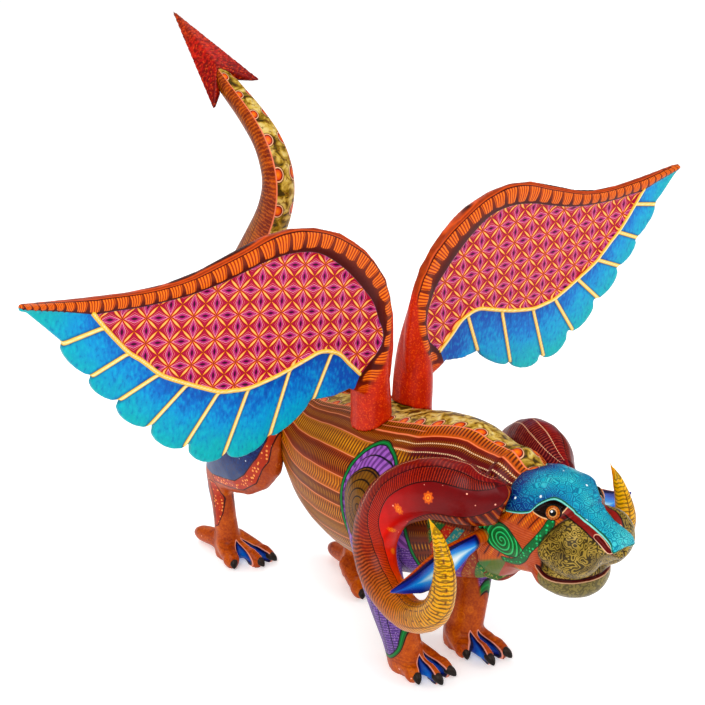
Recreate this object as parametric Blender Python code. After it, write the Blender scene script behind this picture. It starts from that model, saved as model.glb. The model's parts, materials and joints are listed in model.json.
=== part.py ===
"""Alebrije: a carved, painted wooden figure of a winged ram with a dragon's tail.

The figure is built the way a carver builds it. The torso is one block of copal wood. The
head, the four legs, the horns and the tail's arrowhead are carved apart and glued on
hidden round dowels. The wings, the tail and the ears end in whittled tenons that push
into dry sockets, so that they pull out for packing.

Row frame: +Z is up, the head looks along -Y and the creature's left side is at +X. The
origin is on the ground, under the middle of the whole figure. The numbers below are in
millimetres from a point on the ground under the shoulders, and MM turns them into
Blender's metres. The empty "figure", which every piece hangs on, moves them all to the
row's origin. Each piece's own origin is at its root, where it is fitted.
"""

from math import cos, pi, radians, sin

import bmesh
import bpy
import numpy as np
from mathutils import Matrix, Vector

MM = 0.001
MIDDLE_Y = -4.8  # the middle of the whole figure, from nose to arrowhead

# Driving dimensions, in millimetres
WING_TIP_X = 301.0  # half of the wing span
WING_Y = -45.0  # where both boards stand at the height WING_PIVOT_Z
WING_PIVOT_Z = 300.0
WING_LEAN = 0.07  # how far forward a board leans for each unit of height
WING_BOARD = 8.0  # thickness of a wing's board
GAP = 0.3  # glue gap between fitted faces
HORN_GAP = 0.8  # the shoulder is hollowed this much clear of the horn
PLAY = 0.4  # clearance all round a dry tenon
TENON_ROOT = 8.0  # how far a tenon's block runs into its own piece
SOCKET_MOUTH = 30.0  # how far a socket's cutter runs out of the seat
DOWEL_R = 5.0  # radius of the glued leg and neck dowels
PIN_R = 3.0  # radius of the glued horn and arrowhead dowels
DOWEL_SIDES = 16

# Places where pieces meet, for the creature's right side (x is negative there)
WING_SEAT = Vector((-20.0, -33.5, 184.0))
WING_AXIS = Vector((0.0, -WING_LEAN, 1.0)).normalized()
WING_TENON = (11.0, 14.0, 30.0)  # across, along the back, depth
TAIL_SEAT = Vector((0.0, 153.0, 169.5))
TAIL_AXIS = Vector((0.0, 0.80, 0.60)).normalized()
TAIL_TENON = (12.0, 12.0, 26.0)
EAR_SEAT = Vector((-35.0, -172.0, 149.5))
EAR_AXIS = Vector((-0.97, 0.0, -0.17)).normalized()
EAR_PEG = (3.6, 16.0)  # radius, depth
NECK_Y = -163.0  # the flat joint between the torso's neck and the head
ARROW_AXIS = Vector((0.0, 0.848, 0.530))
ARROW_ROLL = radians(35.0)  # the arrowhead is twisted on the tail, its left barb up

SIDES = ((1, "right"), (-1, "left"))
TORSO_SIDES = 22
SKULL_SIDES = 20
PLANE_BOX = 120.0  # a block this deep planes the neck's joint flat
PLANE_SIZE = (300, PLANE_BOX, 300)
GROUND_BLOCK = (900, 900, 100)  # the block that planes the soles, its top on the ground

ACROSS = Vector((1, 0, 0))
ALONG = Vector((0, 1, 0))
UPWARD = Vector((0, 0, 1))

# Stations of each carved form: centre x, y, z, then the radius across the figure and the
# radius in the plane of the form's own curve.
TORSO = (
    (0, 156, 158, 9, 10),
    (0, 146, 157, 24, 25),
    (0, 118, 151, 33, 34),
    (0, 85, 145, 34, 36),
    (0, 58, 141, 38, 38),
    (0, 25, 131, 50, 53),
    (0, -15, 127, 58, 63),
    (0, -60, 130, 57, 63),
    (0, -100, 143, 47, 62),
    (0, -135, 150, 39, 58),
    (0, -165, 153, 35, 42),
    (0, -180, 155, 32, 36),
)
SKULL = (
    (0, -150, 153, 33, 43),
    (0, -165, 154, 34, 41),
    (0, -186, 156, 34, 37),
    (0, -206, 162, 33, 38),
    (0, -224, 163, 29, 30),
    (0, -240, 163, 22, 18),
    (0, -254, 166, 15, 10),
    (0, -264, 167, 10, 6),
)
MUZZLE = (
    (0, -246, 159, 6, 6),
    (-6, -243, 159, 14, 17),
    (-17, -236, 159, 19, 20),
    (-27, -228, 158, 13, 14),
    (-34, -222, 157, 3, 4),
)
CHIN = (
    (0, -200, 136, 20, 14),
    (0, -215, 136, 29, 17),
    (0, -229, 134, 28, 17),
    (0, -240, 133, 19, 13),
    (0, -246, 133, 6, 5),
)
RIGHT_HORN = (
    (-26, -188, 171, 15, 18),
    (-40, -166, 178, 19, 22),
    (-53, -135, 176, 20, 22),
    (-63, -107, 157, 18, 20),
    (-71, -100, 128, 16, 17),
    (-79, -118, 106, 14, 14),
    (-86, -155, 99, 12, 12),
    (-91, -187, 118, 10, 10.5),
    (-93, -197, 148, 7.5, 8),
    (-90, -188, 168, 4.5, 5),
    (-87, -172, 182, 0.8, 0.8),
)
LEFT_HORN = (
    (25, -188, 170, 14, 17),
    (38, -165, 178, 17, 21),
    (51, -135, 178, 18, 22),
    (60, -107, 159, 17, 20),
    (69, -99, 129, 16, 17),
    (78, -118, 106, 14, 14),
    (83, -154, 100, 12, 12),
    (79, -188, 114, 10, 10.5),
    (71, -206, 141, 8, 8),
    (67, -203, 165, 5, 5),
    (68, -190, 183, 0.8, 0.8),
)
EAR = (
    (0.0, 0.0, 5.5, 5.0),
    (16.0, -1.0, 6.5, 5.0),
    (38.0, -4.0, 10.5, 6.0),
    (58.0, -5.0, 9.5, 5.0),
    (84.0, 0.0, 0.8, 0.8),
)  # distance from the seat, droop, then half height and half thickness
FRONT_LEG = (
    (-36, -70, 182, 3, 5),
    (-46, -71, 170, 11, 18),
    (-51, -71, 143, 14, 26),
    (-51, -75, 110, 14, 23),
    (-46, -78, 80, 14, 20),
    (-39, -82, 52, 14, 19),
    (-32, -85, 26, 13, 18),
    (-28, -86, 8, 13, 17),
    (-27, -86, -4, 12, 16),
)
HIND_LEG = (
    (-25, 88, 176, 5, 12),
    (-36, 92, 160, 14, 36),
    (-42, 99, 133, 16, 48),
    (-43, 118, 107, 14, 36),
    (-39, 146, 80, 11, 17),
    (-35, 149, 50, 9.5, 11.5),
    (-33, 148, 24, 10, 12),
    (-32, 146, 6, 12, 16),
    (-32, 146, -4, 11, 15),
)
HEEL = ((-32, 146, 12, 9, 12), (-35, 166, 11, 8, 8.5), (-37, 182, 9, 7, 7), (-38, 190, 8, 3, 3))
# Claw tips, from the outer toe to the inner one, about the ankle of a right foot
RIGHT_FRONT_TOES = ((-9, -22), (2, -33), (16, -31))
LEFT_FRONT_TOES = ((-13, -37), (3, -36), (11, -18))
HIND_TOES = ((-11, -22), (8, -34), (21, -33))
FRONT_ANKLE = Vector((-27, -85, 0))
HIND_ANKLE = Vector((-32, 146, 0))
LEFT_HIND_STEP = -98.0  # the left hind leg walks this far ahead of the right one
LEFT_FRONT_STEP = -2.0
STEP_TOP = 176.0  # a step leaves the leg above this height where it is
STEP_BOTTOM = 100.0  # and moves it all the way below this one
HIP_STEP_SHARE = 0.3  # a hip's dowel moves this much of the step
TOE_ROOT = (0.35, 4.0, 15.0, 8.0, 9.0)  # share of the toe's spread, y, height, half sizes
TOE_BEND = (0.62, 8.0, 7.5, 7.5)  # share of the way to the tip, height, half sizes
TOE_TIP = (4.0, 3.5, 4.0)  # height, half sizes

# The glued dowels: middle, direction of a slanting one, and length
NECK_DOWEL_R = 8.0
NECK_DOWEL_LENGTH = 40.0
NECK_HEIGHT = 156.0
HORN_DOWEL_MIDDLE = Vector((-31, -181, 173))
HORN_DOWEL_AXIS = Vector((-0.62, 0.74, 0.22)).normalized()
HORN_DOWEL_LENGTH = 26.0
SHOULDER = Vector((-44, -73, 118))
SHOULDER_DOWEL_LENGTH = 24.0
HIP = Vector((-33, 92, 150))
HIP_DOWEL_LENGTH = 22.0

TAIL = (
    (0, 137, 157.5, 13, 13),
    (0, 147, 165, 15, 15),
    (0, 163, 177, 16, 16),
    (0, 176, 203, 16, 17),
    (0, 164, 240, 15.5, 17),
    (0, 136, 278, 15, 16.5),
    (0, 114.5, 310, 14, 15),
    (0, 107.5, 338, 13, 13.5),
    (0, 118.5, 364, 12, 12),
    (0, 141.5, 384, 10.5, 10.5),
    (0, 169.5, 401.5, 9, 9),
    (0, 191, 415.5, 7.5, 7.5),
)
ARROW_NOTCH = Vector((0, 196, 419.5))
ARROW_TIP_LENGTH = 76.0  # from the notch to the point
ARROW_BARB_BACK = 43.0  # how far the barbs reach back from the notch
ARROW_RIDGE_BACK = 12.0  # where the head is thickest, back from the notch
ARROW_HEART_BACK = 21.0  # where the barbs part
ARROW_HALF_WIDTH = 24.0
ARROW_HALF_THICKNESS = 10.0
ARROW_DOWEL_MIDDLE = Vector((0, 191, 416.6))
ARROW_DOWEL_R = 2.1
ARROW_DOWEL_LENGTH = 24.0

FEATHER_ARC = (0.12, 0.3, 0.5, 0.7, 0.88)  # where a feather's round end is drawn

# A wing's curves in its own plane: distance from the median plane, and height
LEADING_EDGE = (
    (10, 222), (8.5, 245), (10.5, 271), (19, 298), (38, 322), (59, 337), (80, 344.5),
    (101, 347.5), (122, 346), (146, 339.5), (172, 332), (198, 328), (225, 328), (258, 331),
    (WING_TIP_X - 2, 335.5),
)
WING_TIP_LOW = (WING_TIP_X - 4, 332)  # under the wing's tip
STEM_LOW = (28, 208)  # where the last feather meets the stem
FEATHER_ROOTS = (
    (254, 321), (245, 311), (227, 288), (205, 269), (184, 256), (160, 245), (136, 242),
    (102, 248), (66, 252), (42, 232),
)
FEATHER_NOTCHES = (
    (273, 306.5), (253, 280), (234, 259), (210, 235), (182, 213.5), (152, 199.5),
    (117, 202), (81, 219.5), (47, 219),
)
FEATHER_SWELL = (6, 8, 10, 10.5, 12, 10.5, 8, 2)  # how far each round end passes its notches
RIM = (5.5, 2.5)  # radius of the leading edge's rounded rim, near the stem and at the tip
STEM = (
    (-20, 3.5, 168, 14.5, 19),
    (-20, 3.5, 190, 13.5, 18),
    (-21, 5, 212, 13, 17.5),
    (-20, 5, 234, 10.5, 14.5),
    (-17, 1.5, 258, 7.5, 9),
    (-21, 0, 286, 6, 6.5),
)  # centre x, distance behind the board, height, radius across, radius along the back


def clear_scene():
    for obj in list(bpy.data.objects):
        bpy.data.objects.remove(obj, do_unlink=True)


def paint(name, colour, roughness=0.45, metallic=0.0):
    """A plain material in the piece's ground colour."""
    material = bpy.data.materials.new(name)
    material.use_nodes = True
    shader = material.node_tree.nodes["Principled BSDF"]
    shader.inputs["Base Color"].default_value = (*colour, 1.0)
    shader.inputs["Roughness"].default_value = roughness
    shader.inputs["Metallic"].default_value = metallic
    return material


def smooth_curve(stations, steps):
    """Catmull-Rom values through the stations, `steps` of them from each one to the next."""
    known = np.array(stations, float)
    ends = np.vstack([2 * known[0] - known[1], known, 2 * known[-1] - known[-2]])
    made = []
    for a, b, c, d in zip(ends, ends[1:], ends[2:], ends[3:]):
        for t in np.arange(steps) / steps:
            bent = (2 * a - 5 * b + 4 * c - d) * t * t + (3 * b - a - 3 * c + d) * t**3
            made.append(b + 0.5 * ((c - a) * t + bent))
    return np.array(made + [known[-1]])


def new_object(name, bm, material, origin, rotation=Matrix.Identity(4)):
    """Makes an object of a bmesh that was drawn about its own origin, in millimetres."""
    bmesh.ops.recalc_face_normals(bm, faces=bm.faces)
    bmesh.ops.scale(bm, vec=(MM, MM, MM), verts=bm.verts)
    mesh = bpy.data.meshes.new(name)
    bm.to_mesh(mesh)
    bm.free()
    mesh.materials.append(material)
    mesh.shade_smooth()
    mesh.set_sharp_from_angle(angle=radians(40))
    obj = bpy.data.objects.new(name, mesh)
    obj.parent = bpy.data.objects["figure"]
    obj.matrix_basis = Matrix.Translation(Vector(origin) * MM) @ rotation
    bpy.context.scene.collection.objects.link(obj)
    return obj


def loft(name, stations, material, hint=ACROSS, sides=14, steps=2, grow=0.0, mirror=1):
    """A rounded form swept through stations of centre, radius along hint, other radius.

    grow thickens it all round, and mirror -1 makes the creature's left-hand copy.
    """
    rows = smooth_curve(stations, steps)
    rows[:, 0] *= mirror
    origin = rows[0, :3].copy()
    centres = rows[:, :3] - origin
    radii = np.maximum(rows[:, 3:], 0.5) + grow
    tangents = np.gradient(centres, axis=0)
    bm = bmesh.new()
    rings = []
    for centre, tangent, (side_radius, up_radius) in zip(centres, tangents, radii):
        along = Vector(tangent).normalized()
        side = (hint - along * hint.dot(along)).normalized()
        up = along.cross(side)
        turns = [2 * pi * k / sides for k in range(sides)]
        offsets = [side * cos(a) * side_radius + up * sin(a) * up_radius for a in turns]
        rings.append([bm.verts.new(Vector(centre) + offset) for offset in offsets])
    for ring, following in zip(rings, rings[1:]):
        for k in range(sides):
            bm.faces.new((ring[k], ring[k - 1], following[k - 1]))
            bm.faces.new((ring[k], following[k - 1], following[k]))
    for ring in (rings[0], rings[-1]):
        bm.faces.new(ring)
    return new_object(name, bm, material, origin)


def turned_to(axis):
    """The rotation that takes local +Z to axis."""
    return Vector((0, 0, 1)).rotation_difference(axis).to_matrix().to_4x4()


def rod(name, middle, axis, radius, length, material):
    """A round dowel or the cutter of its hole."""
    bm = bmesh.new()
    bmesh.ops.create_cone(
        bm, cap_ends=True, segments=DOWEL_SIDES, radius1=radius, radius2=radius, depth=length
    )
    return new_object(name, bm, material, middle, turned_to(axis))


def box(name, middle, size, material, rotation=Matrix.Identity(4)):
    """A square-edged block, such as a tenon or a plane cut."""
    bm = bmesh.new()
    bmesh.ops.create_cube(bm, size=1.0, matrix=Matrix.Diagonal((*size, 1.0)))
    return new_object(name, bm, material, middle, rotation)


def combine(target, tool, operation):
    """Joins or cuts target with tool, which then only guides the Boolean."""
    modifier = target.modifiers.new(f"{operation.lower()}_{tool.name}", "BOOLEAN")
    modifier.operation = operation
    modifier.object = tool
    modifier.solver = "EXACT"
    tool.hide_render = True
    tool.display_type = "WIRE"


def mirrored(place, side):
    """A right-hand place or direction (side 1), or the left-hand one (side -1)."""
    return Vector((place.x * side, place.y, place.z))


def dowel(name, holders, middle, axis, radius, length, material):
    """A glued dowel and its hole through every piece that it holds."""
    hole = rod(f"{name}_hole", middle, axis, radius + GAP, length + 2 * GAP, material)
    for holder in holders:
        combine(holder, hole, "DIFFERENCE")
    return rod(name, middle, axis, radius, length, material)


def tenon(piece, host, seat, axis, size, material):
    """A square tenon on piece, reaching back along axis from seat, and its socket in host."""
    across, deep, length = size
    turn = turned_to(axis)
    middle = seat - axis * (length - TENON_ROOT) / 2
    block_size = (across, deep, length + TENON_ROOT)
    block = box(f"{piece.name}_tenon", middle, block_size, material, turn)
    combine(piece, block, "UNION")
    hole_middle = seat - axis * (length + PLAY - SOCKET_MOUTH) / 2
    hole_size = (across + 2 * PLAY, deep + 2 * PLAY, length + PLAY + SOCKET_MOUTH)
    hole = box(f"{piece.name}_socket", hole_middle, hole_size, material, turn)
    combine(host, hole, "DIFFERENCE")


def cut_below_ground(piece, material):
    """Planes the sole of a foot flat on the ground."""
    middle = (0, 0, -GROUND_BLOCK[2] / 2)
    ground = box(f"{piece.name}_ground", middle, GROUND_BLOCK, material)
    combine(piece, ground, "DIFFERENCE")


def make_foot(leg, name, ankle, toes, side, shift, material):
    """Three toes fanned from the ankle, joined to the leg with a low instep."""
    place = ankle + Vector((0, shift, 0))
    spread, root_y, *root_form = TOE_ROOT
    share, *bend_form = TOE_BEND
    for number, (out, ahead) in enumerate(toes):
        tip = place + Vector((out, ahead, 0))
        root = place + Vector((out * spread, root_y, 0))
        bend = root.lerp(tip, share)
        toe = (
            (root.x, root.y, *root_form),
            (bend.x, bend.y, *bend_form),
            (tip.x, tip.y, *TOE_TIP),
        )
        tool = loft(f"{name}_toe_{number}", toe, material, sides=10, mirror=side)
        combine(leg, tool, "UNION")


def make_leg(name, stations, ankle, toes, side, shift, cutters, material, heel=()):
    """One carved leg, its flank side hollowed to fit the torso and the horn over it."""
    stepped = []
    for x, y, z, wide, long in stations:
        share = min(1.0, max(0.0, (STEP_TOP - z) / (STEP_TOP - STEP_BOTTOM)))
        stepped.append((x, y + shift * share, z, wide, long))
    leg = loft(name, stepped, material, mirror=side)
    if heel:
        spur = [(x, y + shift, z, a, b) for x, y, z, a, b in heel]
        combine(leg, loft(f"{name}_heel", spur, material, sides=12, mirror=side), "UNION")
    make_foot(leg, name, ankle, toes, side, shift, material)
    for cutter in cutters:
        combine(leg, cutter, "DIFFERENCE")
    cut_below_ground(leg, material)
    return leg


def board_y(z):
    """Where the middle of a wing's leaning board is at this height."""
    return WING_Y - WING_LEAN * (z - WING_PIVOT_Z)


def wing_outline():
    """The wing's edge in its own plane, as (distance out, height), once round."""
    leading = smooth_curve(LEADING_EDGE, 2)
    outline = [tuple(point) for point in leading]
    notches = np.array(FEATHER_NOTCHES)
    outline.append(WING_TIP_LOW)
    for i, swell in enumerate(FEATHER_SWELL):
        start, end = notches[i], notches[i + 1]
        root = (np.array(FEATHER_ROOTS[i + 1]) + np.array(FEATHER_ROOTS[i + 2])) / 2
        outward = (start + end) / 2 - root
        outward = outward / np.linalg.norm(outward)
        outline.append(tuple(start))
        for t in FEATHER_ARC:
            round_end = (1 - (2 * t - 1) ** 2) ** 0.5
            outline.append(tuple(start + (end - start) * t + outward * swell * round_end))
    outline.append(tuple(notches[-1]))
    outline.append(STEM_LOW)
    return outline


def make_wing(name, side, torso_cutter, material):
    """One wing: a flat board with a round leading edge that runs down into the stem."""
    seat = mirrored(WING_SEAT, side)
    bm = bmesh.new()
    half = WING_BOARD / 2
    corners = []
    for x, z in wing_outline():
        corners.append(bm.verts.new(Vector((-side * x, board_y(z) - half, z)) - seat))
    face = bm.faces.new(corners)
    pushed = bmesh.ops.extrude_face_region(bm, geom=[face])
    moved = [v for v in pushed["geom"] if isinstance(v, bmesh.types.BMVert)]
    bmesh.ops.translate(bm, vec=(0, WING_BOARD, 0), verts=moved)
    bmesh.ops.triangulate(bm, faces=bm.faces)
    wing = new_object(name, bm, material, seat)

    thick, thin = RIM
    count = len(LEADING_EDGE)
    rim = []
    for i, (x, z) in enumerate(LEADING_EDGE):
        radius = thick + (thin - thick) * i / (count - 1)
        height = z - radius * 0.5
        rim.append((-(x + radius * 0.6), board_y(height), height, radius, radius))
    rim_tool = loft(f"{name}_rim", rim, material, hint=ALONG, sides=8, steps=1, mirror=side)
    combine(wing, rim_tool, "UNION")
    stem = [(x, board_y(z) + behind, z, *radii) for x, behind, z, *radii in STEM]
    combine(wing, loft(f"{name}_stem", stem, material, mirror=side), "UNION")
    combine(wing, torso_cutter, "DIFFERENCE")
    return wing


def make_ear(name, side, head_cutters, material):
    """One leaf-shaped ear on its round peg, which is part of it."""
    seat = mirrored(EAR_SEAT, side)
    axis = mirrored(EAR_AXIS, side)
    leaf = []
    for distance, droop, half_height, half_thickness in EAR:
        centre = seat + axis * distance
        leaf.append((centre.x, centre.y, centre.z + droop, half_height, half_thickness))
    ear = loft(name, leaf, material, hint=UPWARD, sides=12)
    for cutter in head_cutters:
        combine(ear, cutter, "DIFFERENCE")
    radius, depth = EAR_PEG
    middle = seat - axis * (depth - TENON_ROOT) / 2
    combine(ear, rod(f"{name}_peg", middle, axis, radius, depth + TENON_ROOT, material), "UNION")
    return ear


def ear_socket(head, side, material):
    """The round socket of an ear's peg, cut through to the outside of the head."""
    axis = mirrored(EAR_AXIS, side)
    radius, depth = EAR_PEG
    length = depth + PLAY + SOCKET_MOUTH
    middle = mirrored(EAR_SEAT, side) - axis * (depth + PLAY - SOCKET_MOUTH) / 2
    hole = rod(f"ear_socket_{side}", middle, axis, radius + PLAY, length, material)
    combine(head, hole, "DIFFERENCE")


def make_arrowhead(material):
    """The tail's arrowhead: a flattened pyramid with two swept barbs and a raised ridge."""
    side = ACROSS * cos(ARROW_ROLL) + ARROW_AXIS.cross(ACROSS) * -sin(ARROW_ROLL)
    normal = ARROW_AXIS.cross(side)
    point = ARROW_AXIS * ARROW_TIP_LENGTH
    back = -ARROW_AXIS * ARROW_BARB_BACK
    swell = -ARROW_AXIS * ARROW_RIDGE_BACK
    bm = bmesh.new()
    tip = bm.verts.new(point)
    barbs = [bm.verts.new(back + side * ARROW_HALF_WIDTH * s) for s in (-1, 1)]
    ridges = [bm.verts.new(swell + normal * ARROW_HALF_THICKNESS * s) for s in (-1, 1)]
    heart = bm.verts.new(-ARROW_AXIS * ARROW_HEART_BACK)
    for ridge in ridges:
        for barb in barbs:
            bm.faces.new((tip, barb, ridge))
            bm.faces.new((heart, barb, ridge))
    arrow = new_object("tail_arrowhead", bm, material, ARROW_NOTCH)
    soften = arrow.modifiers.new("worn_edges", "BEVEL")
    soften.width = 0.9 * MM
    soften.segments = 1
    soften.limit_method = "ANGLE"
    return arrow


def make_torso(earth):
    """The trunk from the rump to the neck, sawn off flat where the head is glued on."""
    torso = loft("torso", TORSO, earth, sides=TORSO_SIDES, steps=2)
    plane = box("torso_neck_plane", (0, NECK_Y - PLANE_BOX / 2, NECK_HEIGHT), PLANE_SIZE, earth)
    combine(torso, plane, "DIFFERENCE")
    return torso


def make_head(skin):
    """The skull with its two muzzle lobes and its chin, sawn off flat at the neck."""
    head = loft("head", SKULL, skin, sides=SKULL_SIDES)
    for side, which in SIDES:
        lobe = loft(f"muzzle_{which}", MUZZLE, skin, hint=ALONG, sides=14, mirror=side)
        combine(head, lobe, "UNION")
    combine(head, loft("chin", CHIN, skin, sides=14), "UNION")
    middle = (0, NECK_Y + PLANE_BOX / 2 - GAP, NECK_HEIGHT)
    combine(head, box("head_neck_plane", middle, PLANE_SIZE, skin), "DIFFERENCE")
    return head


def add_horn(which, side, head, cutters, material, wood):
    """A horn doweled to the head; returns the tool that keeps other pieces clear of it."""
    stations = RIGHT_HORN if side > 0 else LEFT_HORN
    horn = loft(f"horn_{which}", stations, material, sides=12, steps=3)
    for cutter in cutters:
        combine(horn, cutter, "DIFFERENCE")
    middle = mirrored(HORN_DOWEL_MIDDLE, side)
    axis = mirrored(HORN_DOWEL_AXIS, side)
    dowel(f"horn_dowel_{which}", (head, horn), middle, axis, PIN_R, HORN_DOWEL_LENGTH, wood)
    return loft(
        f"horn_{which}_plus_gap", stations, material, sides=12, steps=3, grow=HORN_GAP
    )


def add_legs(which, side, torso, torso_cutter, horn_cutter, material, wood):
    """The front and the hind leg of one side, doweled to the torso."""
    toes = RIGHT_FRONT_TOES if side > 0 else LEFT_FRONT_TOES
    front_step = 0.0 if side > 0 else LEFT_FRONT_STEP
    hind_step = 0.0 if side > 0 else LEFT_HIND_STEP
    front = make_leg(
        f"front_leg_{which}", FRONT_LEG, FRONT_ANKLE, toes, side, front_step,
        (torso_cutter, horn_cutter), material,
    )
    shoulder = mirrored(SHOULDER, side)
    dowel(
        f"front_dowel_{which}", (torso, front), shoulder, ACROSS, DOWEL_R,
        SHOULDER_DOWEL_LENGTH, wood,
    )
    hind = make_leg(
        f"hind_leg_{which}", HIND_LEG, HIND_ANKLE, HIND_TOES, side, hind_step,
        (torso_cutter,), material, heel=HEEL,
    )
    hip = mirrored(HIP, side) + Vector((0, hind_step * HIP_STEP_SHARE, 0))
    dowel(f"hind_dowel_{which}", (torso, hind), hip, ACROSS, DOWEL_R, HIP_DOWEL_LENGTH, wood)


def add_tail(torso, torso_cutter, gold, red, wood):
    """The tail, plugged into the torso, and the arrowhead doweled to its end."""
    tail = loft("tail", TAIL, gold, sides=12, steps=3)
    combine(tail, torso_cutter, "DIFFERENCE")
    tenon(tail, torso, TAIL_SEAT, TAIL_AXIS, TAIL_TENON, gold)
    arrow = make_arrowhead(red)
    tail_cutter = loft("tail_plus_gap", TAIL, gold, sides=12, steps=3, grow=GAP)
    combine(arrow, tail_cutter, "DIFFERENCE")
    dowel(
        "arrowhead_dowel", (tail, arrow), ARROW_DOWEL_MIDDLE, ARROW_AXIS, ARROW_DOWEL_R,
        ARROW_DOWEL_LENGTH, wood,
    )


def build():
    clear_scene()
    figure = bpy.data.objects.new("figure", None)
    figure.location = (0, -MIDDLE_Y * MM, 0)
    bpy.context.scene.collection.objects.link(figure)
    earth = paint("torso_paint", (0.40, 0.14, 0.05))
    orange = paint("limb_paint", (0.60, 0.20, 0.04))
    blue = paint("mask_paint", (0.03, 0.28, 0.48))
    plum = paint("horn_paint", (0.36, 0.08, 0.06))
    crimson = paint("wing_paint", (0.62, 0.07, 0.08))
    gold = paint("tail_paint", (0.50, 0.28, 0.07))
    red = paint("arrowhead_paint", (0.58, 0.07, 0.02))
    azure = paint("ear_paint", (0.03, 0.22, 0.62))
    wood = paint("bare_copal", (0.70, 0.52, 0.32), roughness=0.8)

    torso = make_torso(earth)
    torso_cutter = loft("torso_plus_gap", TORSO, earth, sides=TORSO_SIDES, steps=2, grow=GAP)
    head = make_head(blue)
    head_cutters = [loft("skull_plus_gap", SKULL, blue, sides=SKULL_SIDES, grow=GAP)]
    neck = Vector((0, NECK_Y, NECK_HEIGHT))
    dowel("neck_dowel", (torso, head), neck, ALONG, NECK_DOWEL_R, NECK_DOWEL_LENGTH, wood)
    for side, which in SIDES:
        cutters = (*head_cutters, torso_cutter)
        horn_cutter = add_horn(which, side, head, cutters, plum, wood)
        make_ear(f"ear_{which}", side, head_cutters, azure)
        ear_socket(head, side, blue)
        wing = make_wing(f"wing_{which}", side, torso_cutter, crimson)
        seat = mirrored(WING_SEAT, side)
        tenon(wing, torso, seat, mirrored(WING_AXIS, side), WING_TENON, crimson)
        add_legs(which, side, torso, torso_cutter, horn_cutter, orange, wood)
    add_tail(torso, torso_cutter, gold, red, wood)


build()
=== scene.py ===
"""The looks of the alebrije figure: carved copal forms, painted all over with folk patterns.

Every piece is grown from its CAD node: the node's own mesh is copied, refined and faired,
small carved details are pressed into it, and its paint follows fields stored on its points.
Working lengths are millimetres in the row frame; MM turns them into Blender's metres.
"""

import heapq
import json
from math import cos, pi, radians, sin

import bmesh
import bpy
import numpy as np
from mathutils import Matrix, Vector
from mathutils.bvhtree import BVHTree


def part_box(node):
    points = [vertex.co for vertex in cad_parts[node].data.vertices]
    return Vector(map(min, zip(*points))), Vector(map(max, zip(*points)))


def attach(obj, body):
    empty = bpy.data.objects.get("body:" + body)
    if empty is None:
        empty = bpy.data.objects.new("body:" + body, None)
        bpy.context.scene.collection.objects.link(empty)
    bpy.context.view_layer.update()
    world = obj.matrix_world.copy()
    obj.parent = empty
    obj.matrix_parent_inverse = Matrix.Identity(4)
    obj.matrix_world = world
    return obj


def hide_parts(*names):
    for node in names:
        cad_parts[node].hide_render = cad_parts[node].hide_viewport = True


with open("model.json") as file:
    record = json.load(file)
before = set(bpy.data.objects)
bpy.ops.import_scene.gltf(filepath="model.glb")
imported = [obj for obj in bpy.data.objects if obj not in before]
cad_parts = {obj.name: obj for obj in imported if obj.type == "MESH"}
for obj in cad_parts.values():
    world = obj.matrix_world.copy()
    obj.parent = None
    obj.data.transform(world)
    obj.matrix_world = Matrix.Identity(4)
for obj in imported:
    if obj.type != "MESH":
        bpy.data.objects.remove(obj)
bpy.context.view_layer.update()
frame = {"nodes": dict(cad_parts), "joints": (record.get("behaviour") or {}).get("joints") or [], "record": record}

MM = 0.001
SIDES = (("right", -1), ("left", 1))  # the creature's right is at -X


# ---------------------------------------------------------------- shapes

def box(node):
    """The lowest and highest corner of a CAD node, in millimetres."""
    return [np.array(corner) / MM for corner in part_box(node)]


def points_of(mesh):
    """A mesh's points in millimetres, one row each."""
    flat = np.empty(len(mesh.vertices) * 3)
    mesh.vertices.foreach_get("co", flat)
    return flat.reshape(-1, 3) / MM


def move_points(mesh, points):
    mesh.vertices.foreach_set("co", (points * MM).ravel())
    mesh.update()


def normals_of(mesh):
    flat = np.empty(len(mesh.vertices) * 3)
    mesh.vertices.foreach_get("normal", flat)
    return flat.reshape(-1, 3)


def edges_of(mesh):
    flat = np.empty(len(mesh.edges) * 2, np.int64)
    mesh.edges.foreach_get("vertices", flat)
    return flat.reshape(-1, 2)


def add_field(piece, name, values):
    """Stores one number at each point, for the paint to read."""
    layer = piece.data.attributes.new(name, "FLOAT", "POINT")
    layer.data.foreach_set("value", np.asarray(values, np.float32))


def smooth_curve(points, steps=8):
    """Catmull-Rom points through the given ones."""
    known = np.array(points, float)
    ends = np.vstack([2 * known[0] - known[1], known, 2 * known[-1] - known[-2]])
    made = []
    for a, b, c, d in zip(ends, ends[1:], ends[2:], ends[3:]):
        for t in np.arange(steps) / steps:
            bent = (2 * a - 5 * b + 4 * c - d) * t * t + (3 * b - a - 3 * c + d) * t**3
            made.append(b + 0.5 * ((c - a) * t + bent))
    return np.array(made + [known[-1]])


def step_up(values, low, high):
    """0 below low, 1 above high, and a soft S between them."""
    t = np.clip((values - low) / (high - low), 0, 1)
    return t * t * (3 - 2 * t)


def nearest_on(points, line):
    """For each point: distance to a polyline, how far along it, the foot and the tangent."""
    best = np.full(len(points), np.inf)
    run = np.zeros(len(points))
    foot = np.zeros_like(points)
    tangent = np.zeros_like(points)
    start = 0.0
    for a, b in zip(line, line[1:]):
        span = b - a
        length = np.linalg.norm(span)
        t = np.clip((points - a) @ span / length**2, 0, 1)
        spot = a + t[:, None] * span
        distance = np.linalg.norm(points - spot, axis=1)
        nearer = distance < best
        best[nearer] = distance[nearer]
        run[nearer] = start + t[nearer] * length
        foot[nearer] = spot[nearer]
        tangent[nearer] = span / length
        start += length
    return best, run, foot, tangent


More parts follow.
